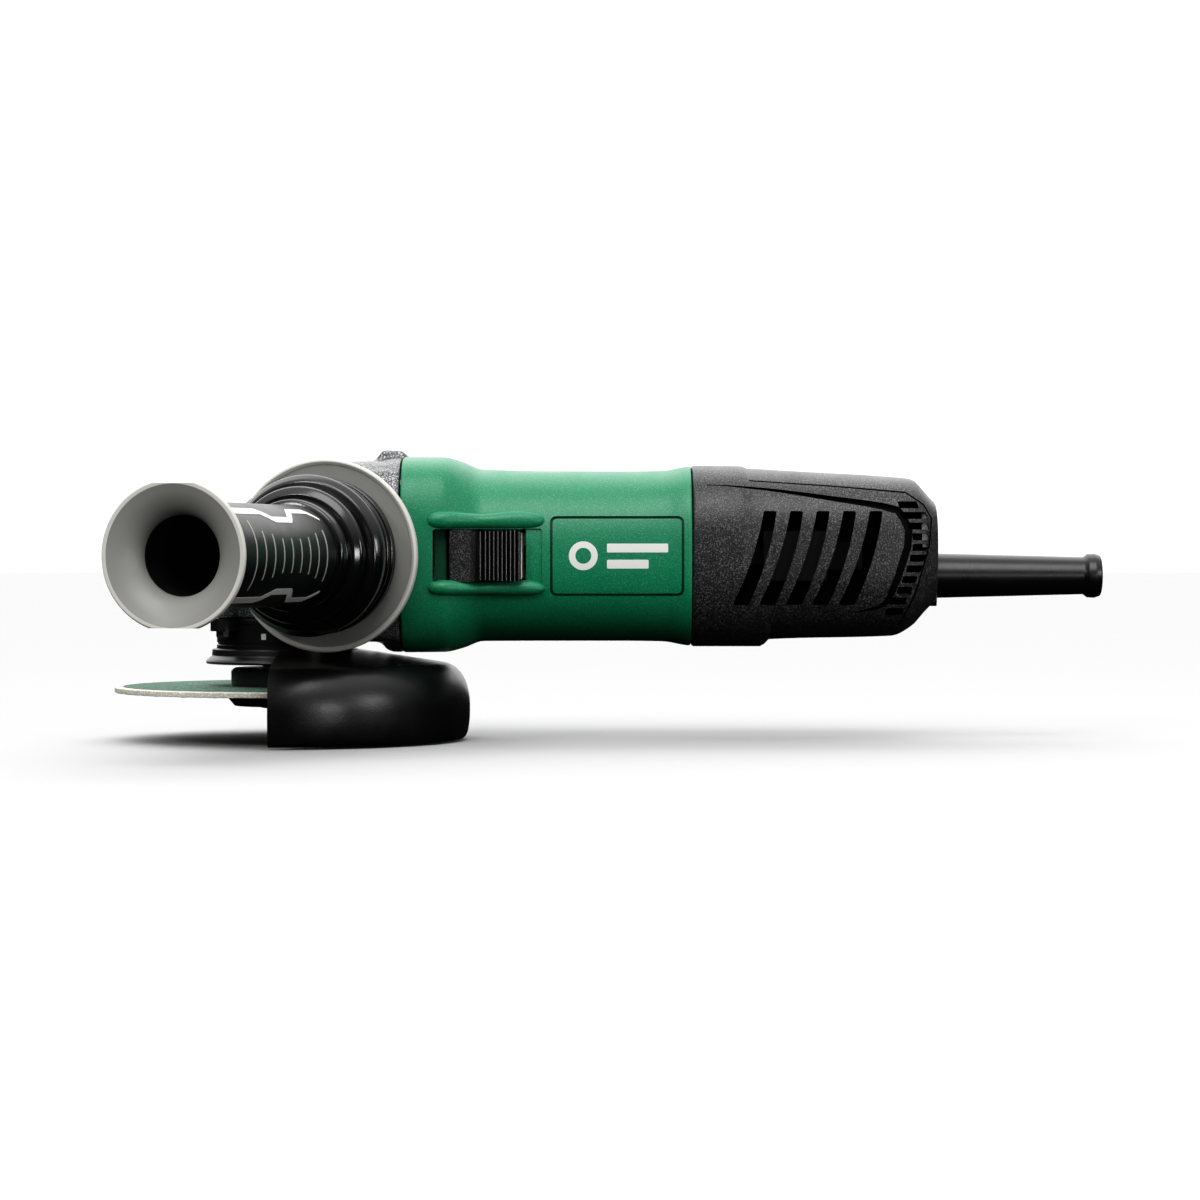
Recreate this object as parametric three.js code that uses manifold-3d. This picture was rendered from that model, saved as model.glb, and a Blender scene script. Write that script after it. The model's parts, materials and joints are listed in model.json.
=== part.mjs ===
// Angle grinder with a 125 mm wheel, as an assembly of the pieces that it comes apart into.
// Millimetres. X runs from the spindle to the tail, -Y is the side that the side handle is on, +Z is up.
// Everything is drawn about the motor axis, and the whole tool is then lifted so that the
// spindle's end face lies in the plane Z = 0.
import * as THREE from "three";
import { mergeVertices } from "three/addons/utils/BufferGeometryUtils.js";
import Module from "manifold-3d";

const wasm = await Module();
wasm.setup();

// ---------------------------------------------------------------- driving dimensions
const AXIS_HEIGHT = 57; // motor axis above the spindle's end face
const WALL = 2.4; // moulded housings
const RUNNING_FIT = 0.1; // on the radius, which clears the corners of a turned piece
const ROUND = 18; // sides of a turned piece
const BIG_ROUND = 32; // sides of a large one

const GEAR_TEETH = 34;
const PINION_TEETH = 10;
const GEAR_PITCH_R = 20.6; // at the outer end of the teeth
const CONE_INNER = 0.68; // inner end of the teeth, as a share of the outer cone distance

const NECK_R = 25.2; // packing gland, which the guard turns on
const WHEEL_R = 62.5;
const WHEEL_TOP = -47.8;
const WHEEL_THICK = 2.1;
const GUARD_R = 68;
const GUARD_SHEET = 1.8;
const FLANGE_R = 20;
const THREAD_R = 6.95; // M14

const HOUSING_FRONT = 44.3; // seam between the gear housing and the motor housing
const HOUSING_REAR = 149.2; // seam between the motor housing and the tail cover
const TAIL_END = 238.6;
const CORD_Z = -7.3; // cord outlet, below the motor axis
const CORD_R = 3.9;

const HANDLE_TILT = THREE.MathUtils.degToRad(15); // the handle leans forward in plan
const HANDLE_SEAT = new THREE.Vector3(18.2, -40, 0); // middle of the handle's flange
const HANDLE_LENGTH = 142;
const HANDLE_BORE_END = 58; // how near the flange the handle's open bore ends
const STUD_R = 4; // M8

const SHAFT_R = 5;
const CORE = { from: 74, to: 116, r: 17.5 };
const COMMUTATOR = { from: 128, to: 143, r: 11.5 };
const BRUSH_X = 135.5;
const STATOR_R = 28.2;
const SWITCH_X = 75.3; // middle of the slide button, in its off position
const LOCK_X = -11; // spindle lock, in front of the spindle
const COLLAR_SCREW = { z: -36.9, turn: 135 }; // clamp screw in the guard's collar
const COVER_SCREW_X = 163; // screw that holds the tail cover
const CLAMP_SCREWS = [-8, 8].map((y) => [218, y, 0]); // cord clamp screws

// ---------------------------------------------------------------- materials
const paint = (color, roughness, metalness = 0) =>
  new THREE.MeshStandardMaterial({ color, roughness, metalness });
const CAST_PAINT = paint(0x2b2b2d, 0.45, 0.3);
const GREEN = paint(0x0b8f5f, 0.5);
const BLACK = paint(0x17181a, 0.6);
const SATIN_BLACK = paint(0x101112, 0.4);
const RUBBER = paint(0x151617, 0.8);
const GREY = paint(0x9a9b95, 0.6);
const STEEL = paint(0x9ea1a5, 0.35, 0.9);
const DARK_STEEL = paint(0x2a2b2e, 0.45, 0.8);
const LAMINATION = paint(0x55585c, 0.5, 0.7);
const COPPER = paint(0xa85f32, 0.4, 0.7);
const BRASS = paint(0xb79a4f, 0.4, 0.8);
const CARBON = paint(0x2c2c2e, 0.8);
const FELT = paint(0x8d8a80, 0.95);
const ABRASIVE = paint(0x8fae9c, 0.9);
const RESIN = paint(0x6d4a2b, 0.6);
const NYLON = paint(0xd8d3c4, 0.55);

// ---------------------------------------------------------------- solids
// A closed three.js geometry as a solid, its faces turned outwards.
function solid(geometry) {
  const bare = geometry.clone();
  bare.deleteAttribute("normal");
  bare.deleteAttribute("uv");
  const merged = mergeVertices(bare, 1e-4);
  const source = merged.index.array;
  const faces = [];
  for (let i = 0; i < source.length; i += 3) {
    const [a, b, c] = [source[i], source[i + 1], source[i + 2]];
    if (a !== b && b !== c && c !== a) faces.push(a, b, c);
  }
  const make = (triVerts) =>
    new wasm.Manifold(
      new wasm.Mesh({
        numProp: 3,
        vertProperties: merged.attributes.position.array,
        triVerts: new Uint32Array(triVerts),
      }),
    );
  const made = make(faces);
  return made.volume() < 0 ? make(faces.reverse()) : made;
}

function mesh(name, shape, material) {
  const { vertProperties, triVerts } = shape.getMesh();
  const geometry = new THREE.BufferGeometry();
  geometry.setAttribute("position", new THREE.BufferAttribute(vertProperties, 3));
  geometry.setIndex(new THREE.BufferAttribute(triVerts, 1));
  const made = new THREE.Mesh(geometry, material);
  made.name = name;
  return made;
}

const join = (first, ...rest) => rest.reduce((sum, s) => sum.add(s), first);
const cut = (first, ...rest) => rest.reduce((left, s) => left.subtract(s), first);

// A profile of [radius, height] points turned about X or Z. It ends on the axis, or it is closed here.
function turned(axis, profile, sides = ROUND) {
  const points = profile.map(([r, h]) => new THREE.Vector2(r, h));
  if (profile[0][0] > 0 || profile[profile.length - 1][0] > 0) points.push(points[0].clone());
  const geometry = new THREE.LatheGeometry(points, sides);
  if (axis === "x") geometry.rotateZ(-Math.PI / 2);
  else geometry.rotateX(Math.PI / 2);
  return solid(geometry);
}

const rod = (axis, r, from, to, sides = ROUND) =>
  turned(axis, [[0, from], [r, from], [r, to], [0, to]], sides);

const ring = (axis, inner, outer, from, to, sides = ROUND) =>
  turned(axis, [[inner, from], [outer, from], [outer, to], [inner, to]], sides);

function box([x0, x1], [y0, y1], [z0, z1]) {
  const geometry = new THREE.BoxGeometry(x1 - x0, y1 - y0, z1 - z0);
  geometry.translate((x0 + x1) / 2, (y0 + y1) / 2, (z0 + z1) / 2);
  return solid(geometry);
}

// An outline of [x, z] points drawn in side view, extruded from y0 to y1.
function sidePlate(outline, [y0, y1]) {
  const shape = new THREE.Shape(outline.map(([x, z]) => new THREE.Vector2(x, z)));
  const geometry = new THREE.ExtrudeGeometry(shape, { depth: y1 - y0, bevelEnabled: false });
  geometry.rotateX(Math.PI / 2);
  geometry.translate(0, y1, 0);
  return solid(geometry);
}

// A body lofted along X through sections { x, half, top, bottom }, each a squarish oval:
// power 2 is an ellipse, and a higher power has flatter sides.
function lofted(sections, power = 2.7, sides = 20) {
  const geometry = new THREE.CylinderGeometry(1, 1, 1, sides, sections.length - 1);
  const places = geometry.attributes.position;
  const bend = (v) => Math.sign(v) * Math.abs(v) ** (2 / power);
  for (let i = 0; i < places.count; i++) {
    const step = Math.round((places.getY(i) + 0.5) * (sections.length - 1));
    const { x, half, top, bottom } = sections[step];
    const across = half * bend(places.getX(i));
    const up = (top + bottom) / 2 + ((top - bottom) / 2) * bend(places.getZ(i));
    places.setXYZ(i, x, across, up);
  }
  return solid(geometry);
}

const shrunk = (sections, wall) =>
  sections.map(({ x, half, top, bottom }) => ({
    x,
    half: half - wall,
    top: top - wall,
    bottom: bottom + wall,
  }));

// A screw whose head's underside is at the origin and whose shank runs along +Z, with a hexagon socket.
function screw(shankR, length, headR, headHeight) {
  const body = turned("z", [[0, length], [shankR, length], [shankR, 0], [headR, 0],
    [headR, -headHeight * 0.7], [headR * 0.8, -headHeight], [0, -headHeight]], 10);
  return cut(body, rod("z", headR * 0.45, -headHeight - 1, -headHeight * 0.4, 6));
}

// A shape drawn along +Z, turned to lie along +X.
const alongX = (shape) => shape.rotate([0, 90, 0]);

// A coil spring about Z between two heights.
function spring(r, wire, turns, from, to) {
  class Helix extends THREE.Curve {
    getPoint(t, target = new THREE.Vector3()) {
      const angle = t * turns * 2 * Math.PI;
      const rise = from + wire + t * (to - from - 2 * wire);
      return target.set(r * Math.cos(angle), r * Math.sin(angle), rise);
    }
  }
  const section = new THREE.Shape(
    Array.from({ length: 5 }, (_, i) => {
      const angle = (i / 5) * 2 * Math.PI;
      return new THREE.Vector2(wire * Math.cos(angle), wire * Math.sin(angle));
    }),
  );
  return solid(
    new THREE.ExtrudeGeometry(section, {
      steps: turns * 9,
      extrudePath: new Helix(),
      bevelEnabled: false,
    }),
  );
}

// A deep groove ball bearing along an axis, with its two faces dished between the races.
function bearing(axis, boreR, outerR, from, to) {
  const dish = 0.7;
  const inner = boreR + (outerR - boreR) * 0.3;
  const outer = boreR + (outerR - boreR) * 0.72;
  return turned(axis, [[boreR, from], [inner, from], [(inner + outer) / 2, from + dish],
    [outer, from], [outerR, from], [outerR, to], [outer, to], [(inner + outer) / 2, to - dish],
    [inner, to], [boreR, to]]);
}

// ---------------------------------------------------------------- bevel gears
// Both gears' teeth run towards the point where the two axes meet. A gear's outline at any distance
// along its axis is the same outline, scaled.
function toothCone(teeth, pitchR, height, addendum, dedendum, widths, reach, phase) {
  const coneR = Math.hypot(pitchR, height);
  const pitchAngle = Math.atan2(pitchR, height);
  const tip = height * Math.tan(pitchAngle + addendum / coneR);
  const root = height * Math.tan(pitchAngle - dedendum / coneR);
  const outline = [];
  for (let i = 0; i < teeth; i++) {
    const middle = ((i + phase) / teeth) * 2 * Math.PI;
    const [rootHalf, tipHalf] = widths.map((w) => w / 2 / pitchR);
    for (const [r, angle] of [[root, -rootHalf], [tip, -tipHalf], [tip, tipHalf], [root, rootHalf]])
      outline.push(new THREE.Vector2(r * Math.cos(middle + angle), r * Math.sin(middle + angle)));
  }
  const geometry = new THREE.ExtrudeGeometry(new THREE.Shape(outline), {
    depth: 1,
    bevelEnabled: false,
  });
  const places = geometry.attributes.position;
  for (let i = 0; i < places.count; i++) {
    const share = places.getZ(i) > 0.5 ? reach[1] : reach[0];
    places.setXYZ(i, places.getX(i) * share, places.getY(i) * share, height * share);
  }
  return solid(geometry);
}

const PINION_PITCH_R = (GEAR_PITCH_R * PINION_TEETH) / GEAR_TEETH;

// The ring gear on the spindle: its axis points down from the point where the axes meet.
function bevelGear() {
  const teeth = toothCone(GEAR_TEETH, GEAR_PITCH_R, PINION_PITCH_R, 0.75, 1.3, [2.3, 0.95],
    [0.4, 1.7], 0);
  const blank = ring("z", GEAR_PITCH_R * CONE_INNER, GEAR_PITCH_R + 0.5, 2, 9.6, 34);
  const web = turned("z", [[SHAFT_R + 0.02, 8.5], [GEAR_PITCH_R * CONE_INNER + 0.3, 8.5],
    [GEAR_PITCH_R, 9.4], [GEAR_PITCH_R, 12.2], [8, 13.2], [8, 17], [SHAFT_R + 0.02, 17]]);
  const lockHoles = [0, 1, 2, 3].map((i) => {
    const angle = (i / 4) * 2 * Math.PI;
    const [x, y] = [LOCK_X * Math.cos(angle), LOCK_X * Math.sin(angle)];
    return rod("z", 2.6, 6, 20, 10).translate([x, y, 0]);
  });
  return cut(join(teeth.intersect(blank), web), ...lockHoles).rotate([180, 0, 0]);
}

// The pinion on the armature shaft: its axis points along +X. Half a tooth of phase puts a gap at the mesh.
function bevelPinion() {
  const teeth = toothCone(PINION_TEETH, PINION_PITCH_R, GEAR_PITCH_R, 0.9, 1.0, [2.1, 0.75],
    [0.5, 1.2], 0.5);
  const blank = rod("z", 8, GEAR_PITCH_R * CONE_INNER, GEAR_PITCH_R + 1.2, 20);
  const hub = rod("z", 7.2, GEAR_PITCH_R + 1, 26.6, 20);
  const bore = rod("z", 2.55, 0, 40, 16);
  return alongX(cut(join(teeth.intersect(blank), hub), bore));
}

// ---------------------------------------------------------------- gear head
const SPINDLE_PROFILE = [[0, 14.5], [4, 14.5], [4, 5], [SHAFT_R, 5], [SHAFT_R, -18], [6, -18],
  [6, -37.3], [8.5, -37.3], [8.5, -41], [THREAD_R, -41], [THREAD_R, -56.2], [6.2, -AXIS_HEIGHT],
  [0, -AXIS_HEIGHT]];

// Where the four ears of the gear housing and the gland lie about the spindle.
const EARS = [[1, 1], [1, -1], [-1, 1], [-1, -1]].map(([i, j]) => [i * 20.3, j * 20.3]);
// Where the four screws join the gear housing to the motor housing.
const CORNERS = [[1, 1], [1, -1], [-1, 1], [-1, -1]].map(([i, j]) => [i * 25.5, j * 25.5]);

// The handle's axis as a direction away from the tool, mirrored for the other side's boss.
const outward = (side) =>
  new THREE.Vector3(-Math.sin(HANDLE_TILT), side * Math.cos(HANDLE_TILT), 0);

// A shape drawn along +Z from the handle's seat, set on the left (-1) or right (1) side.
function onHandleAxis(side, shape) {
  const turn = new THREE.Quaternion().setFromUnitVectors(new THREE.Vector3(0, 0, 1), outward(side));
  const seat = new THREE.Vector3(HANDLE_SEAT.x, -side * HANDLE_SEAT.y, 0);
  return shape.transform(
    new THREE.Matrix4().compose(seat, turn, new THREE.Vector3(1, 1, 1)).elements,
  );
}

function gearHousing() {
  const barrel = turned("z", [[0, -22.5], [NECK_R + 0.3, -22.5], [26.6, -19], [26.6, 12],
    [18, 21], [0, 24]]);
  const body = lofted([
    { x: -14, half: 17, top: 17, bottom: -19 },
    { x: -4, half: 24, top: 28.5, bottom: -20 },
    { x: 10, half: 28.5, top: 33.5, bottom: -21.5 },
    { x: 26, half: 31.5, top: 34.8, bottom: -31.8 },
    { x: 36.2, half: 33.2, top: 35, bottom: -32.1 },
    { x: 38.6, half: 34.6, top: 35.6, bottom: -35.2 },
    { x: HOUSING_FRONT - 0.3, half: 34.8, top: 35.8, bottom: -35.3 },
  ]);
  const wedge = sidePlate([[-28, -22.5], [25.7, -22.5], [25.7, -33], [34, -36], [46, -36], [46, 38],
    [10, 38], [-3, 29.5], [-14, 18.5], [-24, 7], [-28, -8]], [-45, 45]);
  const topBoss = sidePlate([[32, 32], [33.6, 35.4], [36.4, 38.8], [43.2, 38.6], [46.4, 35.7],
    [46.4, 34], [43.9, 34], [43.9, 30]], [-6.5, 6.5]);
  const lockBoss = rod("z", 7.4, 0, 16, 12).translate([LOCK_X, 0, 0]);
  const ears = EARS.map(([x, y]) => rod("z", 5, -22.5, -8, 8).translate([x, y, 0]));
  const bosses = [-1, 1].map((side) =>
    onHandleAxis(side, turned("z", [[0, -22], [17, -22], [14.5, -1.9], [0, -1.9]], 16)));
  const outer = join(join(barrel, body).intersect(wedge), topBoss, lockBoss, ...ears, ...bosses);

  const chamber = turned("z", [[0, -23], [22.3, -23], [22.3, -5], [15, 4], [0, 4]]);
  const shaftWay = turned("x", [[0, 0], [13, 0], [13, 27], [15.05, 27], [15.05, 36.6], [24, 36.6],
    [27, 45], [0, 45]]);
  const sleeveSeat = rod("z", 5.4, 3, 14.8);
  const lockBore = turned("z", [[0, 2], [2.3, 2], [2.3, 8], [4.4, 8], [4.4, 20], [0, 20]], 12);
  const threads = [-1, 1].map((side) => onHandleAxis(side, rod("z", STUD_R + 0.15, -18, 2, 16)));
  const gland = EARS.map(([x, y]) => rod("z", 2.1, -24, -11, 10).translate([x, y, 0]));
  const front = CORNERS.map(([y, z]) => join(
    rod("x", 2.4, 30, 50, 8), rod("x", 4.4, 20, 40, 8)).translate([0, y, z]));
  return cut(outer, chamber, shaftWay, sleeveSeat, lockBore.translate([LOCK_X, 0, 0]), ...threads,
    ...gland, ...front);
}

function packingGland() {
  const shell = turned("z", [[NECK_R, -22.8], [NECK_R, -38.9], [10, -38.9], [10, -37.2],
    [16.05, -37.2], [16.05, -19.5], [22, -19.5], [22, -22.8]]);
  const ears = EARS.map(([x, y]) => rod("z", 5, -27.3, -22.8, 8).translate([x, y, 0]));
  const bore = rod("z", 16.05, -37.2, -10);
  const holes = EARS.map(([x, y]) => rod("z", 2.1, -40, -10, 10).translate([x, y, 0]));
  return cut(join(shell, ...ears), bore, ...holes);
}

// A sheet profile turned half round the wheel, on a collar that goes all the way round.
function wheelGuard() {
  const t = GUARD_SHEET;
  const shroud = turned("z", [[25.5, -34.2], [30.5, -34.9], [59.5, -39.8], [65.2, -42.2],
    [67.6, -46.6], [GUARD_R, -55], [67.8, -61], [65.8, -65.6], [63.4, -67], [63.4, -67 + t],
    [64.8, -64.6], [GUARD_R - t, -60.6], [GUARD_R - t, -55], [65.8, -47.2], [63.9, -43.6],
    [59, -41.6], [30, -36.8], [25.5, -36.8]], BIG_ROUND);
  const rearHalf = box([0, 80], [-80, 80], [-80, 0]);
  const collar = turned("z", [[25.5, -34.2], [26.7, -34.4], [26.9, -36.9], [28.5, -38.2],
    [28.5, -39.5], [25.5, -39.5]], BIG_ROUND);
  const screwHole = rod("z", 2.1, 20, 40, 12).rotate([0, 90, 0]).rotate([0, 0, COLLAR_SCREW.turn]);
  return cut(join(shroud.intersect(rearHalf), collar), screwHole.translate([0, 0, COLLAR_SCREW.z]));
}

const clampNut = () => {
  const body = turned("z", [[THREAD_R + 0.1, -49.95], [21.5, -49.95], [21.5, -51.9], [18.8, -55.1],
    [9, -55.1], [9, -56], [THREAD_R + 0.1, -56]]);
  return cut(body, ...[-1, 1].map((s) => rod("z", 2.5, -60, -40, 10).translate([15.5 * s, 0, 0])));
};

// A screw that stands in the guard's collar and clamps it on the gland's neck.
const guardScrew = () =>
  screw(2, 3.2, 2.6, 2.6).translate([0, 0, -28.7]).rotate([0, -90, 0]).rotate([0, 0, COLLAR_SCREW.turn])
    .translate([0, 0, COLLAR_SCREW.z]);

function gearHead() {
  const group = new THREE.Group();
  group.add(
    mesh("gear_housing", gearHousing(), CAST_PAINT),
    mesh("packing_gland", packingGland(), SATIN_BLACK),
    mesh("spindle", turned("z", SPINDLE_PROFILE), STEEL),
    mesh("spindle_bearing", bearing("z", 6 + RUNNING_FIT, 16, -37, -27), STEEL),
    mesh("spindle_sleeve", ring("z", 4 + RUNNING_FIT, 5.3, 5.6, 14.6), BRASS),
    mesh("dust_seal", ring("z", 8.75, 9.95, -38.7, -37.3), FELT),
    mesh("bevel_gear", bevelGear(), DARK_STEEL),
    mesh("bevel_pinion", bevelPinion(), DARK_STEEL),
    mesh("pinion_nut", cut(rod("x", 4, 10.6, 13.8, 6), rod("x", 2.55, 0, 20, 16)), STEEL),
    mesh("wheel_guard", wheelGuard(), SATIN_BLACK),
    mesh("guard_clamp_screw", guardScrew(), STEEL),
    mesh("inner_flange", turned("z", [[THREAD_R + 0.1, -41.1], [FLANGE_R - 0.6, -41.1],
      [FLANGE_R, -41.7], [FLANGE_R, WHEEL_TOP], [11, WHEEL_TOP], [11, -49.6],
      [THREAD_R + 0.1, -49.6]]), DARK_STEEL),
    mesh("grinding_wheel", ring("z", 11.15, WHEEL_R, WHEEL_TOP - WHEEL_THICK, WHEEL_TOP, 40),
      ABRASIVE),
    mesh("clamp_nut", clampNut(), DARK_STEEL),
    mesh("spindle_lock_button", turned("z", [[0, -7.9], [2.2, -7.9], [2.2, 14.6], [4.2, 14.6],
      [4.2, 18.2], [3.4, 19], [0, 19]], 12).translate([LOCK_X, 0, 0]), BLACK),
    mesh("spindle_lock_spring", spring(3.3, 0.4, 4, 8.1, 14.5).translate([LOCK_X, 0, 0]), STEEL),
  );
  EARS.forEach(([x, y], i) => group.add(
    mesh(`gland_screw_${i + 1}`, screw(2, 14, 3, 2.6).translate([x, y, -27.4]), STEEL)));
  CORNERS.forEach(([y, z], i) => group.add(
    mesh(`gear_housing_screw_${i + 1}`, alongX(screw(2.2, 19, 3.9, 3)).translate([39.9, y, z]),
      STEEL)));
  return group;
}

// ---------------------------------------------------------------- motor housing and slide switch
const MOTOR_SECTIONS = [
  { x: HOUSING_FRONT, half: 35.2, top: 36.2, bottom: -35.4 },
  { x: 61, half: 34.8, top: 36.2, bottom: -35.3 },
  { x: 66, half: 33, top: 34.4, bottom: -33.8 },
  { x: 71.5, half: 31.4, top: 31.9, bottom: -31.5 },
  { x: 98, half: 31.2, top: 31.2, bottom: -31.3 },
  { x: 125, half: 31.2, top: 31.1, bottom: -31.3 },
  { x: 141, half: 31.3, top: 31.4, bottom: -31.6 },
  { x: HOUSING_REAR, half: 32.5, top: 32.9, bottom: -33 },
];
const SWITCH_WINDOW = { x: [56, 95], z: [-9.6, 9.6] };

function motorHousing() {
  const outer = lofted(MOTOR_SECTIONS);
  const [front, flare, , waist, , middle, , rear] = shrunk(MOTOR_SECTIONS, WALL);
  const inside = [{ ...front, x: front.x - 1 }, flare, waist, middle, { ...rear, x: rear.x + 1 }];
  const rails = [12.6, -11.7].map((z) =>
    box([55, 95.5], [-35.2, -29], [z - 2.4, z + 2.2]));
  const shell = cut(join(outer, ...rails), lofted(inside));
  const corners = CORNERS.map(([y, z]) => rod("x", 5.5, HOUSING_FRONT, 68, 10).translate([0, y, z]));
  const insideBosses = join(...corners).intersect(lofted(shrunk(MOTOR_SECTIONS, 1)));
  const spokes = [45, 135, 225, 315].map((a) =>
    box([146.4, 149], [12, 36], [-2.5, 2.5]).rotate([a, 0, 0]))
    .map((spoke) => spoke.intersect(lofted(shrunk(MOTOR_SECTIONS, 1))));
  const rearSeat = ring("x", 11.2, 13.6, 146.4, 156);
  const brushBosses = [1, -1].map((s) =>
    box([129.4, 141.6], [-6, 6], s > 0 ? [20, 30.2] : [-30.2, -20]));
  const screwTongue = join(
    box([146, 149], [-6, 6], [-32, -23]), box([148, 170], [-6, 6], [-27.8, -23]));
  const whole = join(shell, insideBosses, ...spokes, rearSeat, ...brushBosses, screwTongue);

  const window = box(SWITCH_WINDOW.x, [-45, -26], SWITCH_WINDOW.z);
  const notch = box([40, 46.8], [-6.9, 6.9], [32, 45]);
  const screwHoles = CORNERS.map(([y, z]) => rod("x", 2.4, 40, 67, 10).translate([0, y, z]));
  const brushSlots = [1, -1].map((s) =>
    box([130.3, 140.7], [-4.25, 4.25], s > 0 ? [12, 28.4] : [-28.4, -12]));
  const tongueHole = rod("z", 1.75, -31, -20, 10).translate([COVER_SCREW_X, 0, 0]);
  return cut(whole, window, notch, ...screwHoles, ...brushSlots, tongueHole);
}

// The thumb button: a block in front, a smooth hump, then ribs across a curved pad.
function switchButton() {
  const ribs = 8;
  const pitch = 1.62;
  const ribStart = SWITCH_X - 1.6;
  const top = [];
  for (let i = 0; i < ribs; i++) {
    const x = ribStart + i * pitch;
    top.push([x, 36.2], [x + pitch * 0.55, 36.2], [x + pitch * 0.6, 35.3], [x + pitch * 0.95, 35.3]);
  }
  const back = SWITCH_X + 13.3;
  const outline = [[SWITCH_X - 13.5, 29.9], [SWITCH_X - 13.5, 33.4], [SWITCH_X - 12.9, 34],
    [SWITCH_X - 5.6, 34.2], [SWITCH_X - 3.6, 36.6], [SWITCH_X - 2.2, 35.8], ...top,
    [back - 0.8, 35.3], [back, 34], [back, 29.9]];
  const pad = sidePlate(outline, [-9, 9]).rotate([90, 0, 0]);
  const stem = box([66, 74], [-31, -27.2], [-5, 5]);
  return join(pad, stem);
}

function switchGroup() {
  const group = new THREE.Group();
  const hook = box([167.5, 170.8], [-28.4, -17], [-3.5, 3.5]);
  const bar = box([66, 170.8], [-28.4, -27.4], [-3.5, 3.5]);
  const peg = box([66.6, 73.4], [-28.4, -26.9], [-3.5, 3.5]);
  const buttonCut = box([66, 74], [-28.7, -26.7], [-3.8, 3.8]);
  const body = cut(box([175, 198], [-26.6, -12.6], [-9, 9]), box([174, 186], [-22.4, -17.6], [-3.4, 3.4]));
  const clips = [204.6, 209.4].map((x) => box([x, x + 1.6], [-22, -17], [-5, 5]));
  group.add(
    mesh("switch_button", cut(switchButton(), buttonCut), SATIN_BLACK),
    mesh("switch_rod", join(bar, hook, peg), BLACK),
    mesh("switch_plunger", box([171.1, 182], [-22, -18], [-3, 3]), BLACK),
    mesh("switch_body", join(body, box([197, 210], [-21, -18], [-5, 5]), ...clips), BLACK),
  );
  return group;
}

// ---------------------------------------------------------------- motor
function armature() {
  const slots = 12;
  const outline = [];
  for (let i = 0; i < slots; i++) {
    for (const [r, turn] of [[11, -0.28], [CORE.r, -0.42], [CORE.r, 0.42], [11, 0.28]]) {
      const angle = ((i + 0.5 + turn) / slots) * 2 * Math.PI;
      outline.push(new THREE.Vector2(r * Math.cos(angle), r * Math.sin(angle)));
    }
  }
  const stack = solid(new THREE.ExtrudeGeometry(new THREE.Shape(outline), {
    depth: CORE.to - CORE.from,
    bevelEnabled: false,
  })).translate([0, 0, CORE.from]);
  const core = alongX(cut(stack, rod("z", 6.2, 0, 200, slots)));
  const ends = (from, to) => turned("x", [[6.4, from], [12, from], [15.8, from + 2],
    [15.8, to - 2], [12, to], [6.4, to]], slots);
  const conductors = Array.from({ length: slots }, (_, i) =>
    box([CORE.from - 1, CORE.to + 1], [11.6, 15], [-0.75, 0.75])
      .rotate([(i / slots) * 360, 0, 0]));
  const windings = join(ends(66.5, CORE.from - 0.1), ends(CORE.to + 0.1, 125), ...conductors);

  const blades = Array.from({ length: 9 }, (_, i) =>
    box([49, 57.5], [8, 26.5], [-0.6, 0.6]).rotate([(i / 9) * 360, 0, 0]));
  const fan = join(ring("x", SHAFT_R + 0.05, 9, 48, 58.5), ring("x", SHAFT_R + 0.05, 27, 57, 58.5),
    ...blades);
  const risers = ring("x", 6.05, 13.2, 126, COMMUTATOR.from + 0.4, 24);
  const group = new THREE.Group();
  group.add(
    mesh("armature_shaft", turned("x", [[0, 10.2], [2.5, 10.2], [2.5, 26.7], [SHAFT_R, 26.7],
      [SHAFT_R, 62], [6, 62], [6, 146], [4, 146], [4, 157], [0, 157]]), STEEL),
    mesh("armature_core", core, LAMINATION),
    mesh("armature_windings", windings, COPPER),
    mesh("commutator", join(ring("x", 6.05, COMMUTATOR.r, COMMUTATOR.from, COMMUTATOR.to, 24),
      risers), COPPER),
    mesh("cooling_fan", fan, NYLON),
    mesh("armature_bearing_front", bearing("x", SHAFT_R + RUNNING_FIT, 15, 27.3, 36.3), STEEL),
    mesh("armature_bearing_rear", bearing("x", 4 + RUNNING_FIT, 10.2, 148, 155), STEEL),
    mesh("bearing_rubber_sleeve", ring("x", 10.25, 11.15, 147.6, 155.4), RUBBER),
  );
  return group;
}

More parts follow.
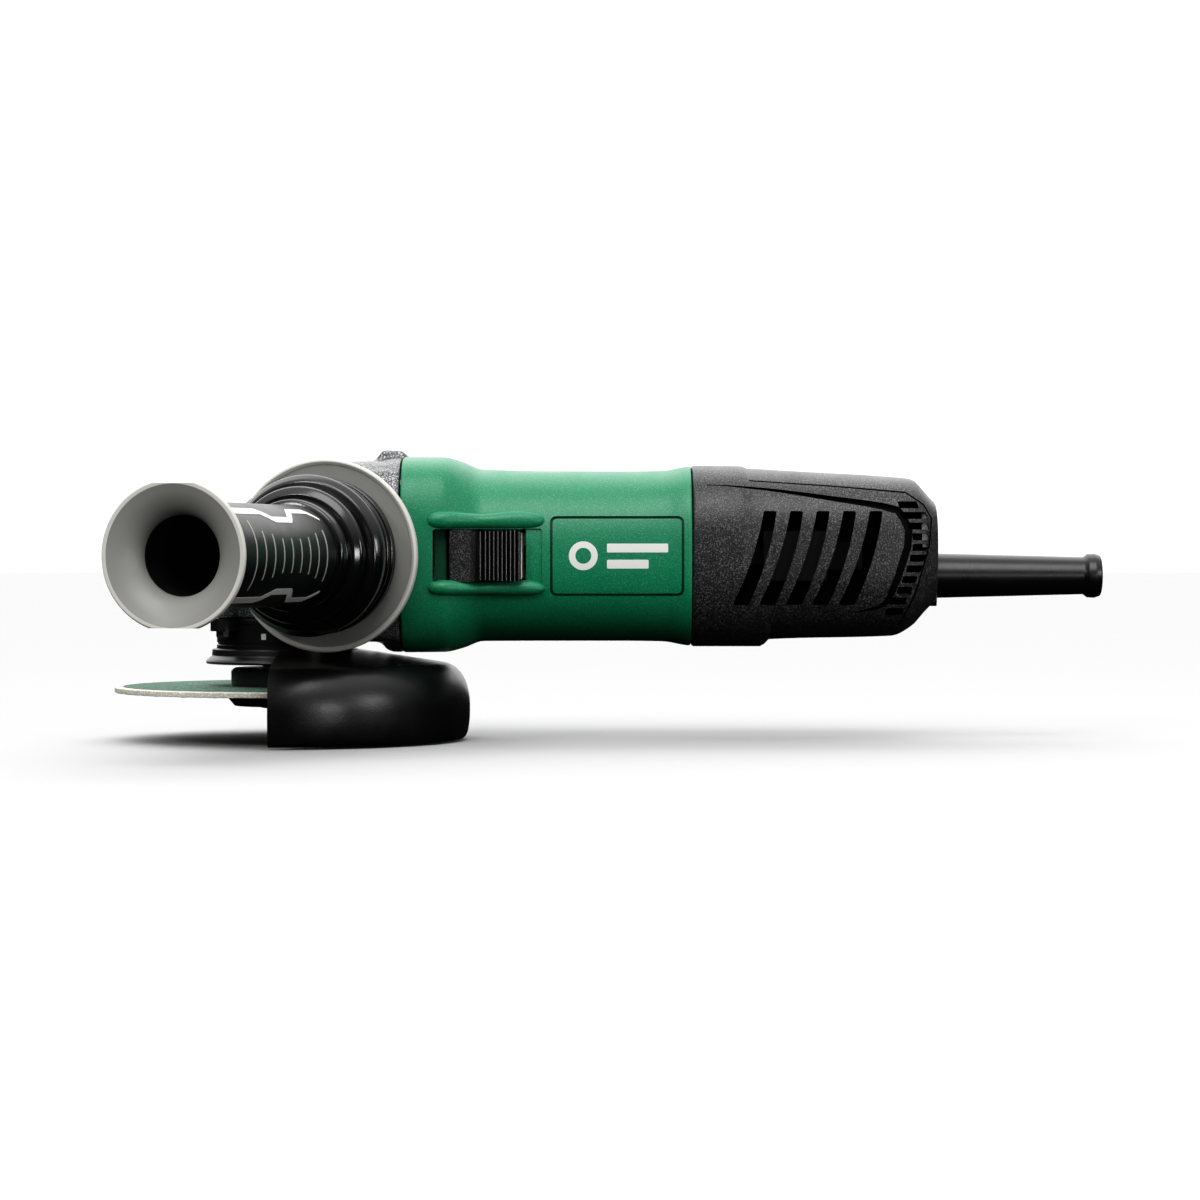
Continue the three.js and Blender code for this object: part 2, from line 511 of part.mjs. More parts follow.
function stator() {
  const flats = box([0, 200], [-26.6, 26.6], [-40, 40]);
  const poleWedge = (r, half, from, to) => {
    const outline = [new THREE.Vector2(0, 0)];
    for (let i = 0; i <= 6; i++) {
      const angle = Math.PI / 2 + half * (i / 3 - 1);
      outline.push(new THREE.Vector2(r * Math.cos(angle), r * Math.sin(angle)));
    }
    const wedge = solid(new THREE.ExtrudeGeometry(new THREE.Shape(outline), {
      depth: to - from,
      bevelEnabled: false,
    })).translate([0, 0, from]);
    return alongX(wedge);
  };
  const bore = rod("x", 18.2, 0, 200);
  const yoke = ring("x", 25.4, STATOR_R, CORE.from, CORE.to);
  // A pole wedge opens to +Y after it is laid along X, so a quarter turn puts it on top.
  const pole = (turn, ...sizes) => poleWedge(...sizes).rotate([turn, 0, 0]);
  const poles = [90, -90].map((turn) => pole(turn, 26.5, 0.78, CORE.from, CORE.to));
  const core = cut(join(yoke, ...poles), bore).intersect(flats);
  const group = new THREE.Group();
  group.add(mesh("stator_core", core, LAMINATION));
  [["field_coil_top", 90], ["field_coil_bottom", -90]].forEach(([name, turn]) => {
    const sleeve = ring("x", 18.7, 25.1, CORE.from - 7, CORE.to + 7);
    const arc = sleeve.intersect(pole(turn, 40, 1.42, CORE.from - 8, CORE.to + 8));
    const hole = pole(turn, 40, 0.81, CORE.from - 0.3, CORE.to + 0.3);
    group.add(mesh(name, cut(arc, hole), COPPER));
  });
  const baffle = turned("x", [[17, 60], [20, 60], [20, 62.4], [27.8, 62.4], [27.8, 64], [18.6, 64],
    [18.6, 61.4], [17, 61.4]]);
  group.add(mesh("fan_baffle", baffle.intersect(flats), BLACK));
  return group;
}

// One brush with its holder and spring, on top (1) or below (-1) the commutator.
function brushGroup(place, side) {
  const tip = COMMUTATOR.r + 0.15;
  const span = (half) => [BRUSH_X - half, BRUSH_X + half];
  const flip = (shape) => (side > 0 ? shape : shape.rotate([180, 0, 0]));
  const holder = cut(box(span(5), [-4, 4], [13.4, 28.2]), box(span(4.2), [-3.2, 3.2], [10, 27.2]));
  const coil = spring(2.3, 0.4, 4, 22.6, 27.1).translate([BRUSH_X, 0, 0]);
  const group = new THREE.Group();
  group.add(
    mesh(`brush_holder_${place}`, flip(holder), BRASS),
    mesh(`carbon_brush_${place}`, flip(box(span(4), [-3, 3], [tip, 22.5])), CARBON),
    mesh(`brush_spring_${place}`, flip(coil), STEEL),
  );
  return group;
}

// ---------------------------------------------------------------- tail
const TAIL_SECTIONS = [
  { x: HOUSING_REAR + 0.3, half: 32.8, top: 33.2, bottom: -33.3 },
  { x: 168, half: 32.8, top: 33, bottom: -33.3 },
  { x: 169, half: 32.6, top: 32.2, bottom: -33.3 },
  { x: 175.2, half: 32.4, top: 31.9, bottom: -33.3 },
  { x: 178, half: 32.3, top: 31.7, bottom: -30.7 },
  { x: 223, half: 31, top: 29, bottom: -29.4 },
  { x: 230, half: 29.6, top: 28.2, bottom: -26 },
  { x: 235, half: 26.2, top: 23.4, bottom: -20.6 },
  { x: TAIL_END, half: 22.5, top: 20.2, bottom: -17.6 },
];
const VENTS = 5;
const VENT_PITCH = 9.55;

function tailCover() {
  // The bottom pad and the step of the collar are on the outside only.
  const [front, , , , pad, ...rear] = shrunk(TAIL_SECTIONS, WALL);
  rear[rear.length - 1].x = TAIL_END - WALL;
  const inside = [{ ...front, x: HOUSING_REAR - 1, bottom: pad.bottom }, pad, ...rear];
  const shell = cut(lofted(TAIL_SECTIONS), lofted(inside));
  const cordBoss = box([230, TAIL_END], [-11, 11], [-18.4, 3.2]);
  const saddle = box([213, 223], [-11, 11], [-27.6, -11.4]);
  const whole = join(shell, cordBoss, saddle);

  const vents = Array.from({ length: VENTS }, (_, i) =>
    sidePlate([[175.2, 16], [179.6, 16], [178.6, 5], [174.6, -6], [169, -17.8], [164.2, -17.8],
      [170.2, -6], [174, 4]].map(([x, z]) => [x + i * VENT_PITCH, z]), [-45, 45]));
  const outlet = join(rod("x", 8.5, 235, 245), rod("x", 10.8, 229, TAIL_END - WALL))
    .translate([0, 0, CORD_Z]);
  const clampHoles = CLAMP_SCREWS.map((place) => rod("z", 1.5, -24, -10, 10).translate(place));
  const screwHole = join(rod("z", 1.9, -35, -25, 12), rod("z", 3.6, -35, -31.6, 12))
    .translate([COVER_SCREW_X, 0, 0]);
  return cut(whole, ...vents, outlet, ...clampHoles, screwHole);
}

function tail() {
  const strap = cut(box([214, 222], [-11, 11], [-11.2, -2.4]),
    rod("x", 4.2, 200, 230, 20).translate([0, 0, CORD_Z]),
    ...CLAMP_SCREWS.map((place) => rod("z", 1.7, -20, 5, 10).translate(place)));
  const cordGuard = turned("x", [[CORD_R, 231], [10.5, 231], [10.5, 235.9], [8.2, 235.9],
    [8.2, 240], [6.85, 294.6], [7.9, 295.6], [8.1, 298], [7.4, 300.5], [CORD_R, 300.5]])
    .translate([0, 0, CORD_Z]);
  const group = new THREE.Group();
  group.add(
    mesh("tail_cover", tailCover(), BLACK),
    mesh("tail_cover_screw",
      screw(1.6, 8, 3.3, 1.5).translate([COVER_SCREW_X, 0, -31.7]), STEEL),
    mesh("cord_guard", cordGuard, SATIN_BLACK),
    mesh("cord_clamp", strap, BLACK),
    mesh("suppressor_capacitor", lofted([
      { x: 178, half: 6, top: 8, bottom: -8 }, { x: 179, half: 7, top: 9, bottom: -9 },
      { x: 201, half: 7, top: 9, bottom: -9 }, { x: 202, half: 6, top: 8, bottom: -8 },
    ], 5, 20).translate([0, 18, 2]), RESIN),
  );
  CLAMP_SCREWS.forEach(([x, y], i) => group.add(
    mesh(`cord_clamp_screw_${i + 1}`,
      screw(1.4, 10, 2.6, 1.8).rotate([180, 0, 0]).translate([x, y, -2.3]), STEEL)));
  return group;
}

// ---------------------------------------------------------------- side handle
// Drawn along +Z from the middle of its flange, then turned on to the handle's axis.
function sideHandle() {
  const L = HANDLE_LENGTH;
  const disc = turned("z", [[STUD_R + 0.4, -1.6], [33.6, -1.6], [34.5, -0.8], [34.5, 1.4],
    [33.8, 1.9], [32.6, 1.1], [14, 1.3], [14, 3], [STUD_R + 0.4, 3]], BIG_ROUND);
  const damper = turned("z", [[8, 3.3], [27.4, 3.3], [27.8, 6.5], [27, 9.8], [25, 11.5],
    [25.2, 13.6], [27.6, 16], [28.3, 19.4], [27.2, 22.4], [22.6, 23.6], [22.2, 24.4], [24, 26.6],
    [23.4, 29.6], [18.8, 31], [19.8, 34.4], [19, 37], [8, 37]], 20);
  const grip = ring("z", 15.3, 17.5, 37.3, L - 13.4, 24);
  const core = turned("z", [[0, 37.3], [15, 37.3], [15, L - 13], [18.3, L - 12], [20.5, L - 7],
    [24.2, L - 2.4], [24.5, L - 0.6], [23.4, L], [20.5, L - 1.6], [15.5, L - 5.4], [13, L - 10],
    [13, HANDLE_BORE_END], [0, HANDLE_BORE_END]], 24);
  const flats = box([-22.9, 22.9], [-60, 60], [0, 200]);
  const studHole = join(rod("z", STUD_R + 0.3, 30, 44, 16), rod("z", 7.8, 43.7, 50.6, 6),
    rod("z", 2, 50, HANDLE_BORE_END + 1, 8));
  const stud = join(rod("z", STUD_R, -17.4, 44.2, 16), rod("z", 7.4, 44, 50.2, 6));
  const group = new THREE.Group();
  group.add(
    mesh("handle_flange", disc, GREY),
    mesh("handle_damper", damper, RUBBER),
    mesh("handle_grip", grip, RUBBER),
    mesh("handle_core", cut(core.intersect(flats), studHole), GREY),
    mesh("handle_stud", stud, STEEL),
  );
  // The drawing's +X is the tool's up, so that the bell's flats lie above and below.
  const z = outward(-1);
  const x = new THREE.Vector3(0, 0, 1);
  const y = new THREE.Vector3().crossVectors(z, x);
  group.quaternion.setFromRotationMatrix(new THREE.Matrix4().makeBasis(x, y, z));
  group.position.copy(HANDLE_SEAT);
  return group;
}

// ---------------------------------------------------------------- the tool
const tool = new THREE.Group();
tool.add(
  gearHead(),
  mesh("motor_housing", motorHousing(), GREEN),
  switchGroup(),
  armature(),
  stator(),
  brushGroup("top", 1),
  brushGroup("bottom", -1),
  tail(),
  sideHandle(),
);
tool.position.z = AXIS_HEIGHT;

const angleGrinder = new THREE.Group();
angleGrinder.add(tool);

export default angleGrinder;
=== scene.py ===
"""Looks for the angle grinder: smooth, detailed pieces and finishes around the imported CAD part.

Shapes are drawn in millimetres about the motor axis: X from the spindle to the tail, -Y to the side
handle, +Z up. They are set into the frame, in metres, when each mesh is made.
"""

import json
import math

import bmesh
import bpy
from mathutils import Matrix, Vector


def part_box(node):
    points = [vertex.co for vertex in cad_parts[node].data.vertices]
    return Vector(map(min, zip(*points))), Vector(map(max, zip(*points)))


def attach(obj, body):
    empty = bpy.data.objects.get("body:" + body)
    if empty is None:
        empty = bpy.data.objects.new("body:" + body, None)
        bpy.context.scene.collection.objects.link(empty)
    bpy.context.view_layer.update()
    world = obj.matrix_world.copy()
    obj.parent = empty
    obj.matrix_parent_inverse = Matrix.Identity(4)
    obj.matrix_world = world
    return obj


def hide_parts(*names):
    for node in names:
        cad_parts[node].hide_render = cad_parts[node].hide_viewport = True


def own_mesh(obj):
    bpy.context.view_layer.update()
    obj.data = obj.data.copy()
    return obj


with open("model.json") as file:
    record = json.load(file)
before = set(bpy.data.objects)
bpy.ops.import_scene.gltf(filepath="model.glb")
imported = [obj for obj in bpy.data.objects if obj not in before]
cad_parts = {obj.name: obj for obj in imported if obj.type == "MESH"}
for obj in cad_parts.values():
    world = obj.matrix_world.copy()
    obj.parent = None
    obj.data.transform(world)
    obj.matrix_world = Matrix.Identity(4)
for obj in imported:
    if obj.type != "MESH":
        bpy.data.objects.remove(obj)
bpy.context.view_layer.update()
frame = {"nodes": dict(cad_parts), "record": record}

MM = 0.001


def centre(node):
    low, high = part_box(node)
    return [(a + b) / 2 / MM for a, b in zip(low, high)]


def span(node, axis):
    """Lowest and highest place of a CAD node along an axis, in mm from the motor axis's height."""
    low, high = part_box(node)
    drop = AXIS if axis == 2 else 0.0
    return low[axis] / MM - drop, high[axis] / MM - drop


# ---------------------------------------------------------------- driving dimensions
AXIS = centre("armature_shaft")[2]  # motor axis above the spindle's end face
WALL = 2.4
NECK_R = 25.2
WHEEL_LOW, WHEEL_TOP = span("grinding_wheel", 2)
WHEEL_R = span("grinding_wheel", 1)[1]
GUARD_R = 68.0
GUARD_SHEET = 1.8
HOUSING_FRONT = span("motor_housing", 0)[0]
TAIL_START, TAIL_END = span("tail_cover", 0)
HOUSING_REAR = TAIL_START - 0.3
CORD_Z = centre("cord_guard")[2] - AXIS
LOCK_X = centre("spindle_lock_button")[0]
SWITCH_X = 75.3  # middle of the slide button
HANDLE_SEAT = Vector((18.2, -40.0, 0.0))
HANDLE_TILT = math.radians(15)
HANDLE_LENGTH = 142.0
HANDLE_BORE_R = 13.0
HANDLE_BORE_END = 58.0  # from the flange's middle to the bottom of the bell's bore
PLATE_X = (98.0, 146.3)  # the nameplate's outline, seen from the side
PLATE_Z = (-14.5, 14.3)
MARK_X = 122.2  # middle of the printed mark
HEAD_LOW = -22.5  # underside of the gear housing
GLAND_TOP, GLAND_LOW = -22.8, -38.9
GUARD_BEND = -56.4  # where the guard's shoulder meets its skirt
GUARD_LOW = -67.0
FLOOR_GAP = 0.9  # between the guard and the floor
GRIP_R = 17.5
GRIP_FROM, GRIP_TO = 37.3, HANDLE_LENGTH - 13.4

# Sections of the two mouldings: x, half width, top, bottom, and how square they are.
MOTOR = [
    (HOUSING_FRONT, 35.2, 36.2, -35.4, 3.5),
    (59, 34.9, 36.2, -35.3, 3.4),
    (66, 33.0, 34.4, -33.8, 2.8),
    (73, 31.3, 31.8, -31.4, 2.35),
    (98, 31.2, 31.2, -31.3, 2.35),
    (125, 31.2, 31.1, -31.3, 2.4),
    (139, 31.2, 31.3, -31.5, 2.5),
    (HOUSING_REAR, 32.5, 32.9, -33.0, 2.6),
]
TAIL = [
    (TAIL_START, 32.8, 33.2, -33.3, 2.6),
    (168, 32.8, 33.0, -33.3, 2.7),
    (169, 32.6, 32.2, -33.3, 2.7),
    (175.2, 32.4, 31.9, -33.3, 2.7),
    (178, 32.3, 31.7, -30.7, 2.7),
    (223, 31.0, 29.0, -29.4, 2.9),
    (230, 29.6, 28.2, -26.0, 2.9),
    (235, 26.2, 23.4, -20.6, 2.9),
    (TAIL_END, 22.5, 20.2, -17.6, 2.9),
]

ABOUT_AXIS = Matrix.Translation((0, 0, AXIS * MM)) @ Matrix.Diagonal((MM, MM, MM, 1))
# The handle is drawn along +Z from the middle of its flange, with +X as the tool's up.
OUTWARD = Vector((-math.sin(HANDLE_TILT), -math.cos(HANDLE_TILT), 0))
UP = Vector((0, 0, 1))
HANDLE = Matrix.Translation(HANDLE_SEAT) @ Matrix((UP, OUTWARD.cross(UP), OUTWARD)).transposed().to_4x4()
LAID_ALONG_X = Matrix.Rotation(math.pi / 2, 4, "Y")
ALONG_CORD = Matrix.Translation((0, 0, CORD_Z)) @ LAID_ALONG_X


# ---------------------------------------------------------------- finishes
def finish(name, color, roughness, metallic=0.0, specular=0.5, grain=(0.5, 0.1), mottle=0.12, wear=0.05,
           speckle=0.0, sheen=0.0, anisotropic=0.0):
    """A moulded, painted, cast or machined finish. Grain is its size in mm and its depth."""
    mat = bpy.data.materials.new(name)
    mat.use_nodes = True
    nodes, links = mat.node_tree.nodes, mat.node_tree.links
    shader = nodes["Principled BSDF"]
    shader.inputs["Metallic"].default_value = metallic
    shader.inputs["Specular IOR Level"].default_value = specular
    shader.inputs["Sheen Weight"].default_value = sheen
    shader.inputs["Anisotropic"].default_value = anisotropic
    place = nodes.new("ShaderNodeTexCoord").outputs["Object"]

    def noise(size, detail=2.0):
        node = nodes.new("ShaderNodeTexNoise")
        node.inputs["Scale"].default_value = 1 / (size * MM)
        node.inputs["Detail"].default_value = detail
        links.new(place, node.inputs["Vector"])
        return node.outputs["Fac"]

    def spread(value, low, high, start=0.3, end=0.7):
        node = nodes.new("ShaderNodeMapRange")
        for key, number in zip(("From Min", "From Max", "To Min", "To Max"), (start, end, low, high)):
            node.inputs[key].default_value = number
        links.new(value, node.inputs["Value"])
        return node.outputs["Result"]

    patches = noise(14, 4)
    fine = noise(grain[0], 3)
    tone = nodes.new("ShaderNodeMix")
    tone.data_type = "RGBA"
    tone.inputs["A"].default_value = (*[c * (1 - mottle) for c in color], 1)
    tone.inputs["B"].default_value = (*[min(1, c * (1 + mottle)) for c in color], 1)
    links.new(patches, tone.inputs["Factor"])
    base = tone.outputs["Result"]
    if speckle:
        dots = nodes.new("ShaderNodeMix")
        dots.data_type = "RGBA"
        dots.inputs["B"].default_value = (*[min(1, c * (1 + 2 * speckle) + speckle / 2) for c in color], 1)
        links.new(base, dots.inputs["A"])
        links.new(spread(fine, 0, 1, 0.5, 0.7), dots.inputs["Factor"])
        base = dots.outputs["Result"]
    links.new(base, shader.inputs["Base Color"])
    links.new(spread(patches, max(0.03, roughness - wear), roughness + wear), shader.inputs["Roughness"])
    bump = nodes.new("ShaderNodeBump")
    bump.inputs["Strength"].default_value = grain[1]
    bump.inputs["Distance"].default_value = 0.3 * grain[0] * MM
    links.new(fine, bump.inputs["Height"])
    links.new(bump.outputs["Normal"], shader.inputs["Normal"])
    return mat


FINISHES = {
    "cast_paint": finish("cast_paint", (0.075, 0.076, 0.079), 0.3, 0.65, 0.6, grain=(0.55, 0.9),
                         speckle=0.6),
    "green_plastic": finish("green_plastic", (0.002, 0.2, 0.09), 0.36, specular=0.45, grain=(0.45, 0.6),
                            mottle=0.05, speckle=0.1),
    "black_plastic": finish("black_plastic", (0.009, 0.009, 0.0095), 0.34, specular=0.45, grain=(0.5, 0.8),
                            speckle=0.24),
    "satin_black": finish("satin_black", (0.004, 0.004, 0.0045), 0.28, specular=0.5, grain=(0.4, 0.06)),
    "guard_paint": finish("guard_paint", (0.004, 0.004, 0.0042), 0.32, specular=0.55, grain=(0.8, 0.12)),
    "rubber": finish("rubber", (0.006, 0.006, 0.0065), 0.36, specular=0.5, grain=(0.5, 0.25)),
    "grey_plastic": finish("grey_plastic", (0.26, 0.26, 0.245), 0.4, specular=0.4, grain=(0.4, 0.1),
                           mottle=0.05),
    "steel": finish("steel", (0.56, 0.57, 0.59), 0.28, 1.0, grain=(0.25, 0.08), anisotropic=0.4),
    "dark_steel": finish("dark_steel", (0.045, 0.045, 0.048), 0.36, 0.8, grain=(0.4, 0.12)),
    "lamination": finish("lamination", (0.2, 0.21, 0.22), 0.42, 0.8, grain=(0.5, 0.3)),
    "copper": finish("copper", (0.55, 0.22, 0.1), 0.32, 0.9, grain=(0.6, 0.45)),
    "brass": finish("brass", (0.6, 0.45, 0.18), 0.3, 1.0, grain=(0.3, 0.08)),
    "carbon": finish("carbon", (0.03, 0.03, 0.031), 0.6, grain=(0.2, 0.2)),
    "felt": finish("felt", (0.4, 0.38, 0.34), 0.95, grain=(0.3, 0.8), sheen=0.4),
    "abrasive": finish("abrasive", (0.3, 0.4, 0.34), 0.9, grain=(0.9, 0.9), mottle=0.2, speckle=0.25),
    "resin": finish("resin", (0.2, 0.1, 0.045), 0.4, grain=(0.5, 0.1)),
    "inner_black": finish("inner_black", (0.006, 0.006, 0.0065), 0.6, specular=0.2, grain=(0.5, 0.3)),
    "nylon": finish("nylon", (0.68, 0.65, 0.56), 0.45, grain=(0.4, 0.1)),
}
# Near-black painted shade for the walls and floors of the tail's grooves and openings, and for the sheets
# behind the vents.
PAINTED_SHADE = finish("painted_shade_black", (0.002, 0.002, 0.002), 0.8, specular=0.1, grain=(0.5, 0.1))
SHINY_RUBBER = finish("shiny_rubber", (0.004, 0.004, 0.0045), 0.17, specular=0.7, grain=(0.6, 0.05))
# Green plastic darkened as painted shade, for the switch window's walls, the block inside it and the
# nameplate groove.
SHADED_GREEN = finish("painted_shade_green", (0.002, 0.07, 0.035), 0.5, specular=0.3, grain=(0.6, 0.3), mottle=0.05)
# Pale paint along the outer edges of the handle's flange and bell: a painted highlight.
HIGHLIGHT_RIM = finish("painted_highlight_rim", (0.62, 0.61, 0.57), 0.4, specular=0.5, grain=(0.4, 0.08), mottle=0.04)
WHITE_PRINT = finish("white_print", (0.78, 0.78, 0.76), 0.45, specular=0.4, grain=(0.4, 0.05), mottle=0.04)
GREY_PRINT = finish("grey_print", (0.42, 0.42, 0.41), 0.5, specular=0.4, grain=(0.4, 0.05), mottle=0.04)
PALE_STONE = finish("pale_stone", (0.62, 0.6, 0.52), 0.9, grain=(0.7, 0.9), mottle=0.12, speckle=0.2)
WHEEL_LABEL = finish("wheel_label", (0.07, 0.14, 0.1), 0.85, specular=0.2, grain=(1.1, 0.9), mottle=0.4,
                     speckle=0.22)


# ---------------------------------------------------------------- outlines
def rounded(points, steps=5):
    """A closed outline of (a, b) or (a, b, radius): a corner with a radius becomes a short curve."""
    made = []
    for i, (a, b, *radius) in enumerate(points):
        here = Vector((a, b))
        if not radius:
            made.append((a, b))
            continue
        before = Vector(points[i - 1][:2]) - here
        after = Vector(points[(i + 1) % len(points)][:2]) - here
        half = max(0.05, before.angle(after) / 2)
        reach = min(radius[0] / math.tan(half), 0.48 * before.length, 0.48 * after.length)
        start, end = here + before.normalized() * reach, here + after.normalized() * reach
        for k in range(steps + 1):
            t = k / steps
            made.append(tuple((1 - t) ** 2 * start + 2 * t * (1 - t) * here + t * t * end))
    return made


def eased(pairs, x):
    """The smooth monotone curve through (x, value) pairs."""
    if x <= pairs[0][0]:
        return pairs[0][1]
    if x >= pairs[-1][0]:
        return pairs[-1][1]
    slopes = [(b[1] - a[1]) / (b[0] - a[0]) for a, b in zip(pairs, pairs[1:])]
    i = next(k for k in range(len(slopes)) if x <= pairs[k + 1][0])

    def tangent(k):
        if k in (0, len(slopes)):
            return 0.0
        a, b = slopes[k - 1], slopes[k]
        return 0.0 if a * b <= 0 else 2 * a * b / (a + b)

    width = pairs[i + 1][0] - pairs[i][0]
    t = (x - pairs[i][0]) / width
    rise = pairs[i + 1][1] - pairs[i][1]
    start, end = tangent(i) * width, tangent(i + 1) * width
    return (pairs[i][1] + start * t + (3 * rise - 2 * start - end) * t ** 2
            + (start + end - 2 * rise) * t ** 3)


def band(path):
    """The outline of a line of (x, z, width) points."""
    left, right = [], []
    for i, (x, z, width) in enumerate(path):
        a, b = path[max(0, i - 1)], path[min(len(path) - 1, i + 1)]
        across = Vector((a[1] - b[1], b[0] - a[0])).normalized() * width / 2
        left.append((x + across.x, z + across.y))
        right.append((x - across.x, z - across.y))
    return left + right[::-1]


# ---------------------------------------------------------------- solids
def solid(build):
    """A closed mesh made by build(bmesh), with its faces turned outwards, in mm."""
    bm = bmesh.new()
    build(bm)
    bmesh.ops.remove_doubles(bm, verts=bm.verts, dist=1e-4)
    bmesh.ops.recalc_face_normals(bm, faces=bm.faces)
    made = bpy.data.objects.new("shape", bpy.data.meshes.new("shape"))
    bm.to_mesh(made.data)
    bm.free()
    bpy.context.scene.collection.objects.link(made)
    return made


def grid(rings, along_closed=False):
    """Quads between rings of equal length, with the last ring joined to the first or both ends capped."""
    def build(bm):
        verts = [[bm.verts.new(p) for p in ring] for ring in rings]
        pairs = list(zip(verts, verts[1:]))
        if along_closed:
            pairs.append((verts[-1], verts[0]))
        count = len(rings[0])
        for a, b in pairs:
            for i in range(count):
                j = (i + 1) % count
                bm.faces.new((a[i], a[j], b[j], b[i]))
        if not along_closed:
            bm.faces.new(verts[0])
            bm.faces.new(verts[-1][::-1])
    return solid(build)


def turned(profile, sides=96, start=0.0, end=360.0, matrix=None):
    """A closed profile of (radius, height) points turned about Z, all the way or part of it."""
    whole = end - start >= 360
    steps = sides if whole else sides + 1
    rings = []
    for i in range(steps):
        angle = math.radians(start + (end - start) * i / sides)
        rings.append([(r * math.cos(angle), r * math.sin(angle), h) for r, h in profile])
    made = grid(rings, along_closed=whole)
    if matrix:
        made.data.transform(matrix)
    return made


def prism(outline, low, high, axis="Y"):
    """An outline extruded along an axis: drawn as (x, z) for Y, (x, y) for Z and (y, z) for X."""
    def at(a, b, level):
        return {"Y": (a, level, b), "Z": (a, b, level), "X": (level, a, b)}[axis]
    return grid([[at(a, b, level) for a, b in outline] for level in (low, high)])


def block(x, y, z):
    return prism([(x[0], z[0]), (x[1], z[0]), (x[1], z[1]), (x[0], z[1])], *y)


def rod(r, low, high, matrix=None):
    return turned([(0, low), (r, low), (r, high), (0, high)], 48, matrix=matrix)


def section(sections, x, inset=0.0):
    values = [eased([(s[0], s[k]) for s in sections], x) for k in range(1, 5)]
    half, top, bottom, power = values
    return half - inset, top - inset, bottom + inset, power


def oval(sections, x, inset=0.0, around=144):
    """One squarish oval of a lofted body, in the plane at x."""
    half, top, bottom, power = section(sections, x, inset)
    ring = []
    for i in range(around):
        angle = 2 * math.pi * i / around
        c, s = math.cos(angle), math.sin(angle)
        y = half * math.copysign(abs(c) ** (2 / power), c)
        z = (top + bottom) / 2 + (top - bottom) / 2 * math.copysign(abs(s) ** (2 / power), s)
        ring.append((x, y, z))
    return ring


def side_of(sections, x, z, inset=0.0):
    """How far the body's side lies from the middle plane at (x, z)."""
    half, top, bottom, power = section(sections, x, inset)
    share = min(1.0, abs(z - (top + bottom) / 2) / ((top - bottom) / 2))
    return half * (1 - share ** power) ** (1 / power)


def lofted(sections, path, around=144):
    """A body through a path of (x, inset) steps, closed at both ends of the path."""
    return grid([oval(sections, x, inset, around) for x, inset in path])


def stations(low, high, pitch):
    count = max(1, round((high - low) / pitch))
    return [low + (high - low) * i / count for i in range(count + 1)]


def evaluated(obj):
    bpy.context.view_layer.update()
    graph = bpy.context.evaluated_depsgraph_get()
    mesh = bpy.data.meshes.new_from_object(obj.evaluated_get(graph))
    obj.modifiers.clear()
    obj.data = mesh
    return obj


def merged(parts):
    """Several meshes as one object, each with its own materials."""
    bm = bmesh.new()
    materials = []
    for part in parts:
        done = len(bm.faces)
        bm.from_mesh(part.data)
        bm.faces.ensure_lookup_table()
        own = list(part.data.materials) or [None]
        for face in bm.faces[done:]:
            material = own[min(face.material_index, len(own) - 1)]
            if material not in materials:
                materials.append(material)
            face.material_index = materials.index(material)
        if part is not parts[0]:
            bpy.data.objects.remove(part)
    parts[0].data.materials.clear()
    for material in materials:
        parts[0].data.materials.append(material)
    bm.to_mesh(parts[0].data)
    bm.free()
    return parts[0]


def combined(obj, others, operation):
    for other in others:
        modifier = obj.modifiers.new("combine", "BOOLEAN")
        modifier.operation = operation
        modifier.solver = "EXACT"
        modifier.material_mode = "TRANSFER"
        modifier.object = other
    evaluated(obj)
    for other in others:
        bpy.data.objects.remove(other)
    return obj


def recolored(obj, material, chosen):
    """Gives another material to the faces whose middle is chosen."""
    obj.data.materials.append(material)
    last = len(obj.data.materials) - 1
    for face in obj.data.polygons:
        if chosen(face.center):
            face.material_index = last
    return obj


def cut(obj, *others):
    return combined(obj, [merged(list(others))], "DIFFERENCE")


def joined(obj, *others):
    return combined(obj, list(others), "UNION")


def common(obj, other):
    return combined(obj, [other], "INTERSECT")


def softened(obj, cell, passes):
    """A cast or moulded shape: all of its edges are rounded by remeshing and smoothing it."""
    remesh = obj.modifiers.new("remesh", "REMESH")
    remesh.mode = "VOXEL"
    remesh.voxel_size = cell
    smooth = obj.modifiers.new("smooth", "SMOOTH")
    smooth.factor = 0.5
    smooth.iterations = passes
    return evaluated(obj)


def painted(obj, material):
    """Gives a shape its one material early, so that the faces that it cuts keep it."""
    obj.data.materials.clear()
    obj.data.materials.append(material)
    for face in obj.data.polygons:
        face.material_index = 0
    return obj


def sunk(outline, sections, depth, sides=(-1, 1)):
    """A cutter as deep as the given depth below the body's sides, with a side-view outline."""
    low, high = min(x for x, _ in outline) - 4, max(x for x, _ in outline) + 4
    y = (-50 if -1 in sides else 0, 50 if 1 in sides else 0)
    inner = lofted(sections, [(x, depth) for x in stations(low, high, 1.5)])
    return cut(prism(outline, *y), inner)


def piece(name, obj, material, body, slot, *nodes, sharp=35, matrix=None):
    """Sets a shape into the frame, with its finish, on its body, in place of its CAD nodes."""
    obj.name = name
    obj.data.name = name
    if matrix:
        obj.data.transform(matrix)
    obj.data.transform(ABOUT_AXIS)
    materials = obj.data.materials
    if not materials:
        materials.append(material)
    for i, given in enumerate(materials):
        materials[i] = given or material
    for face in obj.data.polygons:
        face.use_smooth = True
    obj.data.set_sharp_from_angle(angle=math.radians(sharp))
    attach(obj, body)
    if nodes:
        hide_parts(*nodes)
    return obj


